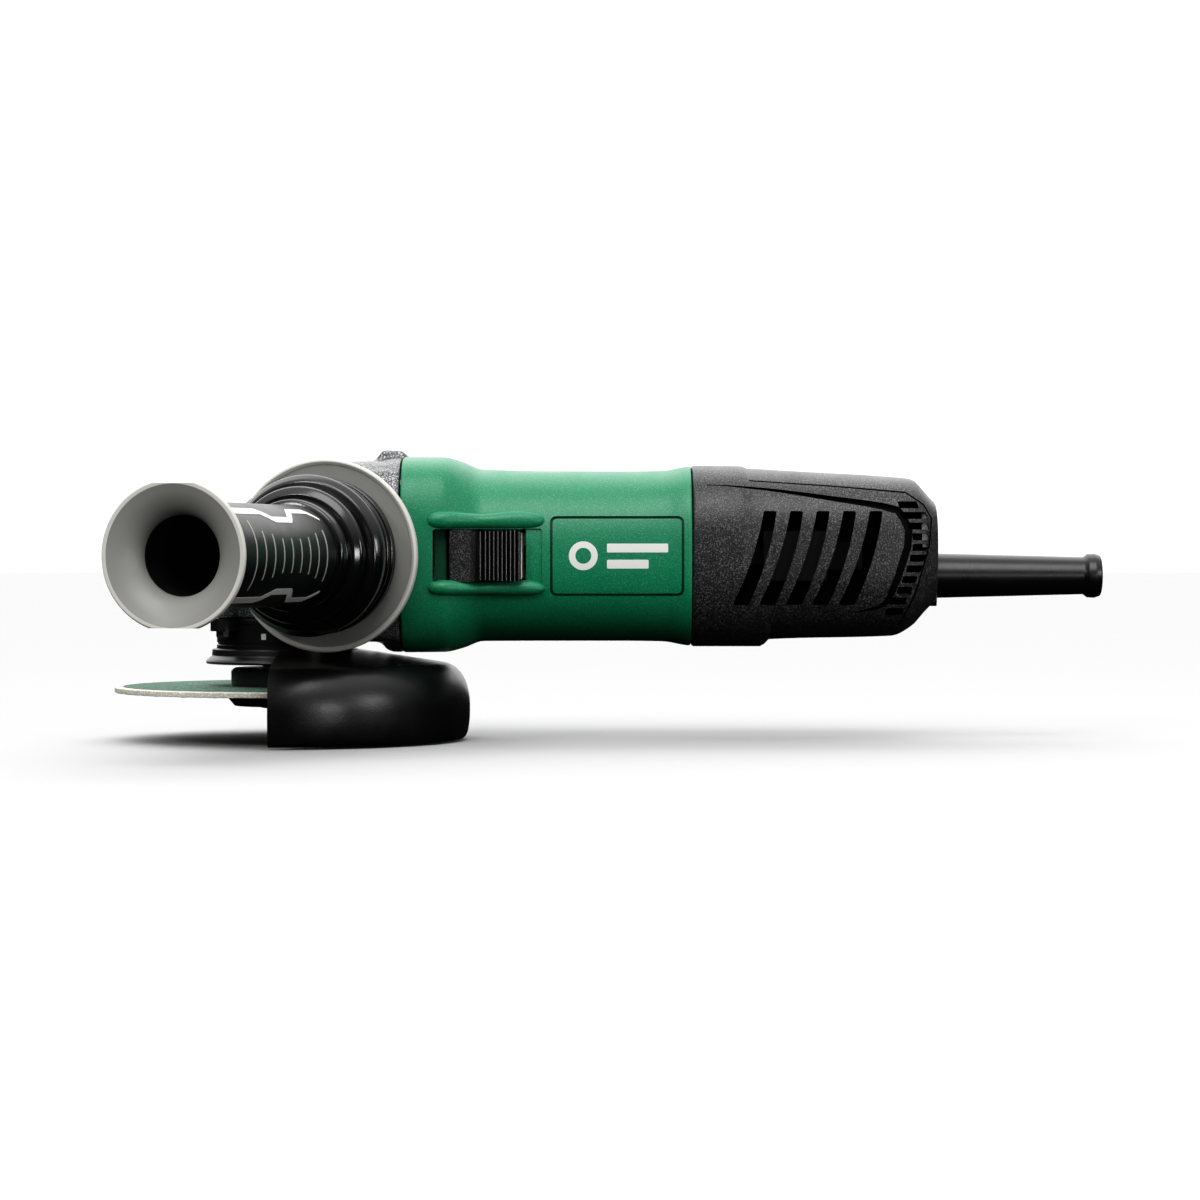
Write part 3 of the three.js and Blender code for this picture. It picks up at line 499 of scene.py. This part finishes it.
# ---------------------------------------------------------------- gear head
EARS = [(x, y) for x in (20.3, -20.3) for y in (20.3, -20.3)]
CORNERS = [(y, z) for y in (25.5, -25.5) for z in (25.5, -25.5)]
HEAD = [
    (-16, 15, 15, -19, 2.6),
    (-4, 24, 28.5, -20, 2.6),
    (10, 28.5, 33.5, -21.5, 2.7),
    (24, 31.3, 34.7, -30.5, 2.9),
    (36.2, 33.2, 35, -32.1, 3.2),
    (39, 34.7, 35.7, -35.2, 3.4),
    (HOUSING_FRONT, 34.9, 35.9, -35.3, 3.5),
]


def gear_housing():
    barrel = turned([(0, HEAD_LOW), (NECK_R + 0.3, HEAD_LOW), (26.6, -19), (26.6, 12), (18, 21), (0, 24)])
    body = lofted(HEAD, [(x, 0) for x in stations(-14, HOUSING_FRONT - 0.3, 2)], 96)
    wedge = prism([(-28, HEAD_LOW), (25.7, HEAD_LOW), (25.7, -33), (34, -36), (46, -36), (46, 38), (10, 38),
                   (-3, 29.5), (-14, 18.5), (-24, 7), (-28, -8)], -45, 45)
    top = prism([(32, 30), (33.6, 35.4), (36.4, 38.8), (43.2, 38.6), (46.4, 35.7), (46.4, 34),
                 (43.9, 34), (43.9, 30)], -6.5, 6.5)
    lock = rod(7.4, 0, 16, Matrix.Translation((LOCK_X, 0, 0)))
    ears = [rod(5, HEAD_LOW, -8, Matrix.Translation((x, y, 0))) for x, y in EARS]
    lugs = [rod(5.6, 32, HOUSING_FRONT - 0.3, Matrix.Translation((0, y, z)) @ LAID_ALONG_X)
            for y, z in CORNERS]
    mirrored = Matrix.Diagonal((1, -1, 1, 1))
    boss = [(0, -22), (17, -22), (14.5, -1.9), (0, -1.9)]
    bosses = [turned(boss, matrix=HANDLE), turned(boss, matrix=mirrored @ HANDLE)]
    bosses[1].data.flip_normals()
    body = joined(common(joined(barrel, body), wedge), top, lock, *ears, *bosses)
    body = joined(body, *lugs)
    seats = [rod(4.5, 28, 39.9, Matrix.Translation((0, y, z)) @ LAID_ALONG_X) for y, z in CORNERS]
    bore = rod(4.7, 8, 20, Matrix.Translation((LOCK_X, 0, 0)))
    chamber = rod(22.3, -24, -5)
    way = turned([(0, 13), (13, 13), (15, 36.6), (24, 36.6), (27, 46), (0, 46)], matrix=LAID_ALONG_X)
    far_thread = rod(4.2, -10, 2, mirrored @ HANDLE)
    far_thread.data.flip_normals()
    body = cut(body, bore, chamber, way, far_thread, *seats)
    softened(body, 0.75, 5)
    piece("gear_housing_cast", body, FINISHES["cast_paint"], "housing", "cast_paint", "gear_housing")


def packing_gland():
    profile = rounded([(NECK_R, GLAND_TOP, 0.4), (NECK_R, -24.6), (NECK_R - 0.5, -24.9),
                       (NECK_R - 0.5, -25.6), (NECK_R, -25.9), (NECK_R, -31.6), (NECK_R - 0.4, -31.9),
                       (NECK_R - 0.4, -32.4),
                       (NECK_R, -32.7), (NECK_R, GLAND_LOW, 0.5), (10, GLAND_LOW, 0.4), (10, -37.2),
                       (16.1, -37.2), (16.1, -19.5), (22, -19.5), (22, GLAND_TOP)])
    ears = [rod(5, -27.3, GLAND_TOP, Matrix.Translation((x, y, 0))) for x, y in EARS]
    holes = [rod(2.1, -40, -10, Matrix.Translation((x, y, 0))) for x, y in EARS]
    body = cut(joined(turned(profile, 128), *ears), *holes)
    piece("packing_gland_cast", body, FINISHES["guard_paint"], "housing", "guard_paint", "packing_gland")
    mark = [(NECK_R + 0.12, z) for z in (-28.2, -30.4)] + [(NECK_R - 0.4, z) for z in (-30.4, -28.2)]
    where = math.degrees(math.asin(5.6 / NECK_R))
    piece("guard_index_mark", turned(mark, 6, 268 - where, 272 - where), WHITE_PRINT, "housing",
          "guard_paint")


def wheel_guard():
    t = GUARD_SHEET
    turn = [math.radians(a) for a in range(7, 91, 4)]
    shoulder = [(56 + 12 * math.sin(a) ** 0.85, GUARD_BEND + 17.2 * math.cos(a) ** 0.85) for a in turn]
    skirt = [(66 + 2 * math.cos(a), GUARD_BEND - 10.2 * math.sin(a)) for a in turn[1::2]]
    outside = [(25.6, -34.2), (30.5, -34.9, 3), *shoulder, *skirt, (65.6, GUARD_LOW), (63.4, GUARD_LOW)]
    inside = [(63.4, GUARD_LOW + t), (64.9, -65, 1), (GUARD_R - t, -60.6, 3), (GUARD_R - t, -55, 6),
              (65.6, -48, 4), (63.6, -43.8, 3), (57.6, -41.2, 4), (30, -36.8), (25.6, -36.8)]
    sheet = turned(rounded(outside + inside, steps=8), 120, -90, 90)
    collar = turned(rounded([(25.5, -33.9), (26.9, -34.2, 0.4), (27.0, -36.6, 0.5), (28.6, -37.9, 0.5),
                             (29.3, -38.8, 0.5), (28.9, -39.6, 0.4), (25.5, -39.6)]), 120)
    body = joined(sheet, collar)
    piece("wheel_guard_pressed", body, FINISHES["guard_paint"], "guard", "guard_paint", "wheel_guard")


def wheel_parts():
    low, top = WHEEL_LOW, WHEEL_TOP
    face_r = 60.4  # where the flat faces end and the ragged edge starts
    rim = rounded([(11.2, low), (face_r, low), (WHEEL_R, low, 0.3), (WHEEL_R, top - 0.25, 0.3),
                   (WHEEL_R - 0.6, top - 0.1), (face_r, top - 0.1), (11.2, top - 0.1)])
    disc = turned(rim, 180)
    for vertex in disc.data.vertices:
        angle = math.atan2(vertex.co.y, vertex.co.x)
        chip = math.sin(17 * angle) * math.sin(43 * angle + 1) + 0.5 * math.sin(61 * angle)
        if math.hypot(vertex.co.x, vertex.co.y) > 61:
            vertex.co.xy *= 1 + 0.004 * min(0, chip)
            vertex.co.z += 0.16 * min(0, chip)
    piece("grinding_wheel_stone", disc, PALE_STONE, "spindle_group", "abrasive", "grinding_wheel")
    label = turned([(20.6, top - 0.2), (59.5, top - 0.2), (59.5, top), (20.6, top)], 180)
    piece("grinding_wheel_label", label, WHEEL_LABEL, "spindle_group", "abrasive")
    flange = rounded([(7.1, -41.1), (18.6, -41.1, 0.8), (20, -42.2, 0.5), (20, top + 0.02, 0.2),
                      (11, top + 0.02), (11, -49.6), (7.1, -49.6)])
    piece("inner_flange_turned", turned(flange), FINISHES["dark_steel"], "spindle_group", "dark_steel",
          "inner_flange")
    nut = turned(rounded([(7.05, -49.95), (21.5, -49.95, 0.2), (21.5, -51.9, 0.6), (18.8, -55.1, 0.6),
                          (9, -55.1), (9, -56, 0.5), (7.05, -56, 0.3)]))
    holes = [rod(2.5, -60, -45, Matrix.Translation((15.5 * s, 0, 0))) for s in (-1, 1)]
    piece("clamp_nut_turned", cut(nut, *holes), FINISHES["dark_steel"], "spindle_group", "dark_steel",
          "clamp_nut")


# ---------------------------------------------------------------- motor housing and switch
def end_rounded(low, high, r=0.6):
    """Steps of (x, inset) from one end of a moulding to the other, with both edges rounded."""
    steps = [(r * (1 - math.cos(a)), r * (1 - math.sin(a))) for a in (0, 0.52, 1.05, math.pi / 2)]
    middle = [(x, 0) for x in stations(low + r, high - r, 1.6)[1:-1]]
    return [(low + x, i) for x, i in steps] + middle + [(high - x, i) for x, i in steps[::-1]]


def finger_rail(z, half_height, wave):
    """A rounded ridge beside the switch, which follows the housing's side."""
    rings = []
    low, high = 54.0, 96.2
    for x in stations(low, high, 0.7):
        t = (x - low) / (high - low)
        taper = min(1, max(0.02, 1 - abs(2 * t - 1) ** 9)) ** 0.5
        height = half_height * (1 + wave * math.sin(3 * math.pi * t + 0.6)) * taper
        proud = 3.1 * (1 - 0.12 * math.cos(2 * math.pi * t)) * taper
        level = z + wave * 2.2 * math.sin(3 * math.pi * t + 0.6)
        y = -side_of(MOTOR, x, z) + 0.7
        rings.append([(x, y + proud * math.cos(a) - 0.2, level + height * math.sin(a))
                      for a in (2 * math.pi * k / 24 for k in range(24))])
    return grid(rings)


def motor_housing():
    path = end_rounded(HOUSING_FRONT, HOUSING_REAR)
    inner = [(x, WALL) for x in stations(HOUSING_FRONT, HOUSING_REAR, 4)]
    shell = grid([oval(MOTOR, x, inset) for x, inset in path + inner[::-1]], along_closed=True)
    window = prism(rounded([(56, -9.6, 1), (89.4, -9.6, 0.6), (89.4, 9.6, 0.6), (56, 9.6, 1)]), -50, -26)
    shelf = sunk(rounded([(88, -9.8), (95.2, -9.8, 1.2), (95.2, 9.8, 1.2), (88, 9.8)]), MOTOR, 0.8, [-1])
    plate = [(PLATE_X[0], PLATE_Z[0], 2.6), (PLATE_X[1], PLATE_Z[0], 2.6),
             (PLATE_X[1], PLATE_Z[1], 2.6), (PLATE_X[0], PLATE_Z[1], 2.6)]
    outline = rounded(plate)
    lip = 0.95
    within = rounded([(x + (lip if x < MARK_X else -lip), z + (lip if z < 0 else -lip), 1.8)
                      for x, z, _ in plate])
    grooves = []
    for side in (-1, 1):
        # The nameplate groove is cut with painted shade on its walls and floor.
        frame_cut = painted(sunk(outline, MOTOR, 1.0, [side]), SHADED_GREEN)
        y = (-50, 0) if side < 0 else (0, 50)
        grooves.append(cut(frame_cut, prism(within, *y)))
    notch = prism([(-6.9, 30), (6.9, 30), (6.9, 45), (-6.9, 45)], 40, 46.8, "X")
    # The switch window is cut with painted shade on its walls.
    shell = cut(painted(shell, FINISHES["green_plastic"]), painted(window, SHADED_GREEN))
    shell = cut(shell, painted(shelf, FINISHES["green_plastic"]))
    shell = cut(shell, *grooves, painted(notch, FINISHES["green_plastic"]))
    rails = [finger_rail(12.7, 3.1, 0.08), finger_rail(-11.6, 2.7, 0.06)]
    # The block inside the window gets painted shade.
    catch = block((56.5, 60.7), (-29.8, -28.7), (-9.2, 9.2))
    plain = [painted(rail, FINISHES["green_plastic"]) for rail in rails]
    whole = merged([shell, *plain, painted(catch, SHADED_GREEN)])
    piece("motor_housing_moulded", whole, FINISHES["green_plastic"], "housing", "green_plastic",
          "motor_housing", sharp=38)
    for side in (-1, 1):
        emblem(side)


def emblem(side):
    """A plain printed mark on the nameplate: a ring and two bars."""
    def patch(outline):
        y = (-50, 0) if side < 0 else (0, 50)
        skin = lofted(MOTOR, [(x, -0.06) for x in stations(100, 145, 2)])
        inner = lofted(MOTOR, [(x, 0.1) for x in stations(98, 147, 2)])
        return cut(common(prism(outline, *y), skin), inner)

    def along(distance):
        return MARK_X - side * distance  # so that the mark reads the same way on both sides
    middle, radius = along(-12.2), 5.2
    turn = [2 * math.pi * k / 40 for k in range(40)]
    circle = [(middle + radius * math.cos(a), radius * math.sin(a)) for a in turn]
    hole = [(middle + (x - middle) * 0.55, z * 0.55) for x, z in circle]
    bars = [rounded([(along(-3.7), low, 0.5), (along(reach), low, 0.5), (along(reach), low + 3.2, 0.5),
                     (along(-3.7), low + 3.2, 0.5)]) for low, reach in ((1.2, 18.3), (-4.6, 11.3))]
    ring = cut(patch(circle), prism(hole, -50, 50))
    mark = merged([ring, *[patch(b) for b in bars]])
    piece("printed_mark_" + ("near" if side < 0 else "far"), mark, WHITE_PRINT, "housing", "green_plastic")


def switch_button():
    front, back = SWITCH_X - 13.5, SWITCH_X + 13.3
    ribs, pitch = 9, 1.5
    start = back - 0.9 - ribs * pitch
    top = []
    for i in range(ribs):
        x = start + i * pitch
        lift = 35.9 + 0.35 * math.sin(math.pi * i / (ribs - 1))
        top += [(x, lift - 1.2, 0.15), (x + pitch * 0.16, lift, 0.5), (x + pitch * 0.7, lift, 0.5),
                (x + pitch * 0.86, lift - 1.2, 0.15)]
    outline = [(front, 30), (front, 33.6, 1.0), (front + 7.8, 34.6, 0.6), (front + 9.6, 36.3, 1.0),
               (start - 0.8, 36.4, 0.8), *top, (back, 34.4, 1.2), (back, 30)]
    body = prism([(x, -y) for x, y in rounded(outline, steps=4)], -9.4, 9.4, "Z")
    corner = rounded([(front, -9.4, 1.6), (back, -9.1, 3.2), (back, 9.1, 3.2), (front, 9.4, 1.6)], steps=8)
    body = common(body, prism(corner, -40, -28))
    waist = [prism([(front + 7.6, s * 9.5), (front + 9.4, s * 8.9), (start, s * 8.7), (back, s * 9.2),
                    (back, s * 12), (front + 7.6, s * 12)], -40, -28) for s in (-1, 1)]
    body = cut(body, *waist)
    recolored(painted(body, SHINY_RUBBER), FINISHES["black_plastic"], lambda p: p.x < front + 8.6)
    piece("switch_button_moulded", body, SHINY_RUBBER, "switch", "satin_black", "switch_button",
          sharp=30)


# ---------------------------------------------------------------- tail
VENTS = 5
VENT_PITCH = 9.55
SLOTS = 11
SLOT_PITCH = 3.85


def vent(shift):
    """A leaning, gently curved opening through both sides."""
    def front(z):
        return 170.9 + 0.325 * z - 0.0047 * z * z + shift

    def back(z):
        return front(z) + 5.2 - 0.037 * z
    levels = stations(-17.7, 16.1, 2.8)
    outline = [(front(z), z) for z in levels] + [(back(z), z) for z in reversed(levels)]
    corners = (0, len(levels) - 1, len(levels), len(outline) - 1)
    outline = [(x, z, 0.8) if i in corners else (x, z) for i, (x, z) in enumerate(outline)]
    return prism(rounded(outline), -45, 45)


def edge_slot(i):
    """One of the small openings that follow the rear edge."""
    z = 18.4 - i * SLOT_PITCH
    left = eased([(-20.2, 218.8), (-12.3, 222.8), (-1.1, 227.1), (6.8, 228.7), (10.6, 227.4), (14.4, 224.9),
                  (18.4, 223.8)], z)
    right = eased([(-20.2, 225.3), (-12.3, 228.2), (-1.1, 233.2), (6.8, 234.6), (14.4, 234.1),
                   (18.4, 230.7)], z)
    high, low = z + 1.25, z - 1.25
    slant = 0.9 if z < 4 else -0.9
    return prism(rounded([(left, low, 0.4), (right - slant * 0.5, low, 0.5), (right + slant * 0.5, high, 0.5),
                          (left + slant * 0.6, high, 0.4)]), -45, 45)


def tail_cover():
    low, high = TAIL_START, TAIL_END
    outer = end_rounded(low, high, 1.0)[:-4] + [(high - 1, 0), (high - 0.5, 0.15), (high - 0.1, 0.6),
                                               (high, 1.2), (high, 16)]
    inner = [(x, WALL) for x in stations(low, high - WALL, 3)] + [(high - WALL, 16)]
    shell = lofted(TAIL, inner[::-1] + outer)
    path = [(154.5, 25.6, 0.3), (172.1, 24.4, 0.8), (200, 20.6, 1.8), (219.5, 17.5, 2.6), (223.1, 16.5, 2.8),
            (225.4, 13.2, 2.8), (227.0, 9.3, 2.8), (226.7, 3.5, 2.8), (223.1, -8, 2.7), (219.5, -16.6, 2.3),
            (215.9, -18.8, 1.2), (208, -20.4, 0.4)]
    levels = [(x, z) for x, z, _ in path[:5]]
    widths = [(x, width) for x, _, width in path[:5]]
    groove = band([(x, eased(levels, x), eased(widths, x)) for x in stations(154.5, 222, 4)] + path[4:])
    ridge = band([(169.9, 27.2, 0.45), (200, 25.2, 0.5), (226.4, 22.9, 0.6), (233, 18.4, 0.6),
                  (235.9, 13.6, 0.6), (234.9, 4, 0.6), (229.5, -14, 0.6), (224.2, -25.2, 0.5)])
    painted(shell, FINISHES["black_plastic"])
    # The groove and the ridge line are cut with painted shade on their walls and floors.
    shell = cut(shell, painted(sunk(groove, TAIL, 1.7), PAINTED_SHADE))
    shell = cut(shell, painted(sunk(ridge, TAIL, 0.6), PAINTED_SHADE))
    openings = [vent(i * VENT_PITCH) for i in range(VENTS)] + [edge_slot(i) for i in range(SLOTS)]
    outlet = turned([(0, 229), (10.8, 229), (10.8, high - WALL), (8.5, high - WALL), (8.5, high + 5),
                     (0, high + 5)], matrix=ALONG_CORD)
    screw_hole = rod(3.6, -40, -31.6, Matrix.Translation((163, 0, 0)))
    # The vents and slots are cut with painted shade on their walls.
    shell = cut(shell, painted(merged(openings), PAINTED_SHADE))
    shell = cut(shell, outlet, screw_hole)
    boss = prism(rounded([(-11.2, -18.4, 3), (11.2, -18.4, 3), (11.2, 3.2, 3), (-11.2, 3.2, 3)]),
                 227, high + 0.6, "X")
    boss_bore = rod(8.5, 220, 250, ALONG_CORD)
    boss = cut(boss, boss_bore)
    # Two near-black sheets inside the tail: painted shade seen through the vents.
    web = [(158, -26), (226, -25), (233, -14), (234, 0), (233, 18), (226, 24), (158, 27)]
    webs = [painted(prism(web, y, y + 1.2), PAINTED_SHADE) for y in (-12.4, 11.2)]
    painted(boss, FINISHES["black_plastic"])
    whole = merged([shell, boss, *webs])
    piece("tail_cover_moulded", whole, FINISHES["black_plastic"], "housing", "black_plastic", "tail_cover",
          sharp=32)


def cord_guard():
    profile = rounded([(3.9, 231), (10.5, 231, 0.4), (10.5, 235.9, 0.4), (8.3, 235.9, 0.3), (8.2, 240),
                       (6.85, 294.2, 1.5), (8.0, 295.6, 0.7), (8.15, 298.2, 1.2), (7.4, 300.5, 0.9),
                       (4.4, 300.5, 0.4), (3.9, 299.5)])
    sleeve = turned(profile, 72, matrix=ALONG_CORD)
    piece("cord_guard_moulded", sleeve, FINISHES["satin_black"], "housing", "satin_black", "cord_guard")


# ---------------------------------------------------------------- side handle
def handle_flange():
    profile = rounded([(4.4, -1.6), (32.4, -1.6, 0.6), (33.6, -1.4, 0.6), (34.5, -0.6, 0.8),
                       (34.5, 1.5, 0.7), (33.6, 1.9, 0.6), (32.4, 0.9, 0.8), (27, 0.7, 1), (14, 1.2),
                       (14, 3), (4.4, 3)])
    body = painted(turned(profile, 160), FINISHES["grey_plastic"])
    # The flange's outer edge gets the painted highlight.
    recolored(body, HIGHLIGHT_RIM, lambda p: math.hypot(p.x, p.y) > 32.7)
    piece("handle_flange_moulded", body, FINISHES["grey_plastic"], "side_handle",
          "grey_plastic", "handle_flange", matrix=HANDLE)


def handle_damper():
    lips = []
    for r, h in ((27.7, 3.4), (28.0, 6.0), (27.3, 8.6)):
        lips += [(r - 1.9, h, 0.2), (r, h + 0.1, 1.1), (r, h + 2.2, 1.1), (r - 1.9, h + 2.3, 0.2)]
    profile = rounded([(8, 3.4), *lips, (25, 11.4, 1.2), (25.2, 13.4, 1.5), (28.2, 16.0, 2.4),
                       (28.6, 20.4, 2.6), (26.4, 23.2, 1.8), (22.7, 23.5, 0.8), (22.5, 24.6, 0.8),
                       (24.3, 26.2, 1.8), (24.2, 29.4, 2.0), (21.5, 31.2, 1.5), (18.9, 31.2, 0.6),
                       (18.9, 32.4, 0.6), (19.9, 34.0, 1.2), (19.3, 36.4, 1.2), (17.4, 37), (8, 37)])
    body = turned(profile, 144)
    piece("handle_damper_moulded", body, SHINY_RUBBER, "side_handle", "rubber", "handle_damper",
          matrix=HANDLE, sharp=50)


def wrapped(strips, r_low, r_high):
    """Raised strips on the grip: each is a polyline of (place along, angle in degrees, width in mm)."""
    parts = []
    for strip in strips:
        points = []
        for (s0, a0, w0), (s1, a1, w1) in zip(strip, strip[1:]):
            count = max(1, round(abs(a1 - a0) / 4) + 1)
            points += [(s0 + (s1 - s0) * k / count, a0 + (a1 - a0) * k / count, w0 + (w1 - w0) * k / count)
                       for k in range(count)]
        points.append(strip[-1])
        flat = band([(s, math.radians(a) * r_high, w) for s, a, w in points])
        half = len(flat) // 2
        pairs = list(zip(flat[:half], flat[half:][::-1]))
        rings = []
        for near, far in pairs:
            ring = []
            for (s, arc), r in ((near, r_low), (near, r_high), (far, r_high), (far, r_low)):
                ring.append((r * math.cos(arc / r_high), r * math.sin(arc / r_high), s))
            rings.append(ring)
        parts.append(grid(rings))
    return merged(parts)


def handle_grip():
    profile = rounded([(15.2, GRIP_FROM), (GRIP_R, GRIP_FROM, 0.5), (GRIP_R, GRIP_TO, 0.4),
                       (15.2, GRIP_TO)])
    piece("handle_grip_moulded", turned(profile, 96), FINISHES["rubber"], "side_handle", "rubber",
          "handle_grip", matrix=HANDLE)
    zigzag = [(124, 56, 3.4), (94, 56, 3.4), (86, 43, 2.6), (71, 43, 2.6), (63, 59, 2.6), (48, 59, 2.8),
              (41, 45, 1.2)]
    reach = [40, 27, 24, 19, 19, 19, 21, 26, 30]
    bands = [[(s, turn + side * a, w) for s, a, w in zigzag] for turn in (-90, 90) for side in (-1, 1)]
    arcs = [[(112 - 8.3 * i + 1.2 * math.cos(math.radians(2.5 * a)), turn + a, 0.8)
             for a in (-half, -half / 2, 0, half / 2, half)]
            for turn in (-90, 90) for i, half in enumerate(reach)]
    piece("grip_bands", wrapped(bands, GRIP_R - 0.4, GRIP_R + 0.12), WHITE_PRINT, "side_handle", "rubber",
          matrix=HANDLE)
    piece("grip_arcs", wrapped(arcs, GRIP_R - 0.4, GRIP_R + 0.1), GREY_PRINT, "side_handle", "rubber",
          matrix=HANDLE)


def handle_bell():
    end = HANDLE_LENGTH
    funnel = [(HANDLE_BORE_R + 9.4 * (1 - t) ** 2, end - 0.4 - 8.4 * t ** 1.3)
              for t in stations(0.05, 1, 0.05)]
    profile = rounded([(0, GRIP_FROM), (15, GRIP_FROM), (15, end - 13), (18.0, end - 12.4, 1.5),
                       (20.2, end - 7.6, 4), (23.6, end - 2.9, 2), (24.5, end - 1.2, 0.7),
                       (24.1, end - 0.1, 0.6), (22.6, end - 0.2, 1.0), *funnel,
                       (HANDLE_BORE_R, HANDLE_BORE_END, 2), (0, HANDLE_BORE_END)])
    body = turned(profile, 160)
    flats = block((-22.9, 22.9), (-60, 60), (0, 200))
    bell = common(painted(body, FINISHES["grey_plastic"]), flats)
    # The bell's outer edge gets the painted highlight.
    recolored(bell, HIGHLIGHT_RIM, lambda p: math.hypot(p.x, p.y) > 22.8 and p.z > end - 3)
    # The bore's wall is painted near-black: painted shade inside the hole.
    recolored(bell, FINISHES["inner_black"],
              lambda p: math.hypot(p.x, p.y) < HANDLE_BORE_R + 0.05 and 50 < p.z < end - 8.6)
    piece("handle_core_moulded", bell, FINISHES["grey_plastic"], "side_handle",
          "grey_plastic", "handle_core", matrix=HANDLE, sharp=30)


# ---------------------------------------------------------------- springs
SPRING_WIRE = 0.4
SPRING_TURNS = 4


def coil_spring(node):
    """A wound steel spring in the place and size of a CAD spring node."""
    (x, y, _), (low, high) = centre(node), span(node, 2)
    radius = (span(node, 0)[1] - span(node, 0)[0]) / 2 - SPRING_WIRE
    steps = SPRING_TURNS * 24
    rings = []
    for i in range(steps + 1):
        turn = 2 * math.pi * SPRING_TURNS * i / steps
        out = Vector((math.cos(turn), math.sin(turn), 0))
        middle = out * radius + UP * (low + SPRING_WIRE + (high - low - 2 * SPRING_WIRE) * i / steps)
        rings.append([middle + SPRING_WIRE * (math.cos(a) * out + math.sin(a) * UP)
                      for a in (2 * math.pi * k / 12 for k in range(12))])
    spring = piece(node + "_wound", grid(rings), FINISHES["steel"], "housing", "steel", node,
                   matrix=Matrix.Translation((x, y, 0)))
    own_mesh(spring)


# ---------------------------------------------------------------- build
gear_housing()
packing_gland()
wheel_guard()
wheel_parts()
motor_housing()
switch_button()
tail_cover()
cord_guard()
handle_flange()
handle_damper()
handle_grip()
handle_bell()
for joint in frame["record"]["behaviour"]["joints"]:
    for row in joint.get("deforming_nodes", []):
        coil_spring(row["node"])

for part in frame["record"]["subparts"]:
    for slot in frame["nodes"][part["node"]].material_slots:
        slot.link = "OBJECT"
        slot.material = FINISHES[part["material_slot"]]


# ---------------------------------------------------------------- floor, light and camera
FLOOR = (GUARD_LOW - FLOOR_GAP + AXIS) * MM
CAMERA_PLACE = (116 * MM, -1200 * MM, (AXIS - 0.44) * MM)
CAMERA_LENS = 97.56
CAMERA_DROP = 0.757  # degrees below level
# Sine of the height where the room turns from dark to bright, then how dark and how bright it is.
WORLD_RAMP = (0.0, 1.0, 0.005, 1.3)


def staged(name, build, material):
    """The floor or backdrop: the camera sees it, but it doesn't light or show in the tool."""
    bm = bmesh.new()
    build(bm)
    made = bpy.data.objects.new(name, bpy.data.meshes.new(name))
    bm.to_mesh(made.data)
    bm.free()
    bpy.context.scene.collection.objects.link(made)
    made.data.materials.append(material)
    made.visible_diffuse = False
    made.visible_glossy = False
    made.visible_shadow = False
    return made


def studio():
    """A pale floor in a white room, and the soft light that the room gives."""
    white = bpy.data.materials.new("white_backdrop")
    white.use_nodes = True
    shader = white.node_tree.nodes["Principled BSDF"]
    shader.inputs["Base Color"].default_value = (0, 0, 0, 1)
    shader.inputs["Specular IOR Level"].default_value = 0
    shader.inputs["Emission Color"].default_value = (1, 1, 1, 1)
    shader.inputs["Emission Strength"].default_value = 1.0
    staged("backdrop", lambda bm: bmesh.ops.create_uvsphere(bm, u_segments=48, v_segments=24, radius=14),
           white)
    pale = finish("pale_floor", (0.52, 0.52, 0.52), 0.9, specular=0.0, mottle=0.0, grain=(3, 0.01))
    floor = staged("floor", lambda bm: bmesh.ops.create_circle(bm, cap_ends=True, radius=13.5, segments=64),
                   pale)
    floor.location.z = FLOOR

    world = bpy.data.worlds.new("studio")
    world.use_nodes = True
    nodes, links = world.node_tree.nodes, world.node_tree.links
    up = nodes.new("ShaderNodeSeparateXYZ")
    links.new(nodes.new("ShaderNodeTexCoord").outputs["Generated"], up.inputs["Vector"])
    ramp = nodes.new("ShaderNodeMapRange")
    ramp.interpolation_type = "SMOOTHSTEP"
    for key, number in zip(("From Min", "From Max", "To Min", "To Max"), WORLD_RAMP):
        ramp.inputs[key].default_value = number
    links.new(up.outputs["Z"], ramp.inputs["Value"])
    links.new(ramp.outputs["Result"], nodes["Background"].inputs["Strength"])
    nodes["Background"].inputs["Color"].default_value = (1, 1, 1, 1)
    bpy.context.scene.world = world


def sun(name, toward, strength, angle):
    """Light from a wide even source, the same all over the floor."""
    light = bpy.data.lights.new(name, "SUN")
    light.energy = strength
    light.angle = math.radians(angle)
    lamp = bpy.data.objects.new(name, light)
    lamp.rotation_euler = Vector(toward).to_track_quat("-Z", "Y").to_euler()
    bpy.context.scene.collection.objects.link(lamp)


def softbox(name, place, target, size, power):
    light = bpy.data.lights.new(name, "AREA")
    light.shape = "RECTANGLE"
    light.size, light.size_y = size
    light.energy = power
    lamp = bpy.data.objects.new(name, light)
    lamp.location = place
    lamp.rotation_euler = (Vector(target) - Vector(place)).to_track_quat("-Z", "Y").to_euler()
    bpy.context.scene.collection.objects.link(lamp)


def camera():
    data = bpy.data.cameras.new("camera")
    data.sensor_width = 36
    data.lens = CAMERA_LENS
    data.clip_end = 50
    cam = bpy.data.objects.new("camera", data)
    cam.location = CAMERA_PLACE
    cam.rotation_euler = (math.radians(90 - CAMERA_DROP), 0, 0)
    bpy.context.scene.collection.objects.link(cam)
    bpy.context.scene.camera = cam


studio()
sun("key_light", (0.05, 0.8, -1.0), 1.3, 40)
sun("back_light", (0.1, -1.3, -1.0), 1.6, 80)
softbox("front_light", (0.6, -1.0, 0.1), (0.1, -0.03, 0.03), (0.22, 0.16), 1.3)
softbox("left_light", (-0.5, -0.8, 0.55), (0.0, -0.1, 0.05), (0.16, 0.16), 1.5)
softbox("right_light", (1.2, -0.7, 0.3), (0.1, 0, 0.05), (0.3, 0.3), 2.2)
camera()
scene = bpy.context.scene
scene.view_settings.view_transform = "Standard"
scene.view_settings.look = "Medium High Contrast"
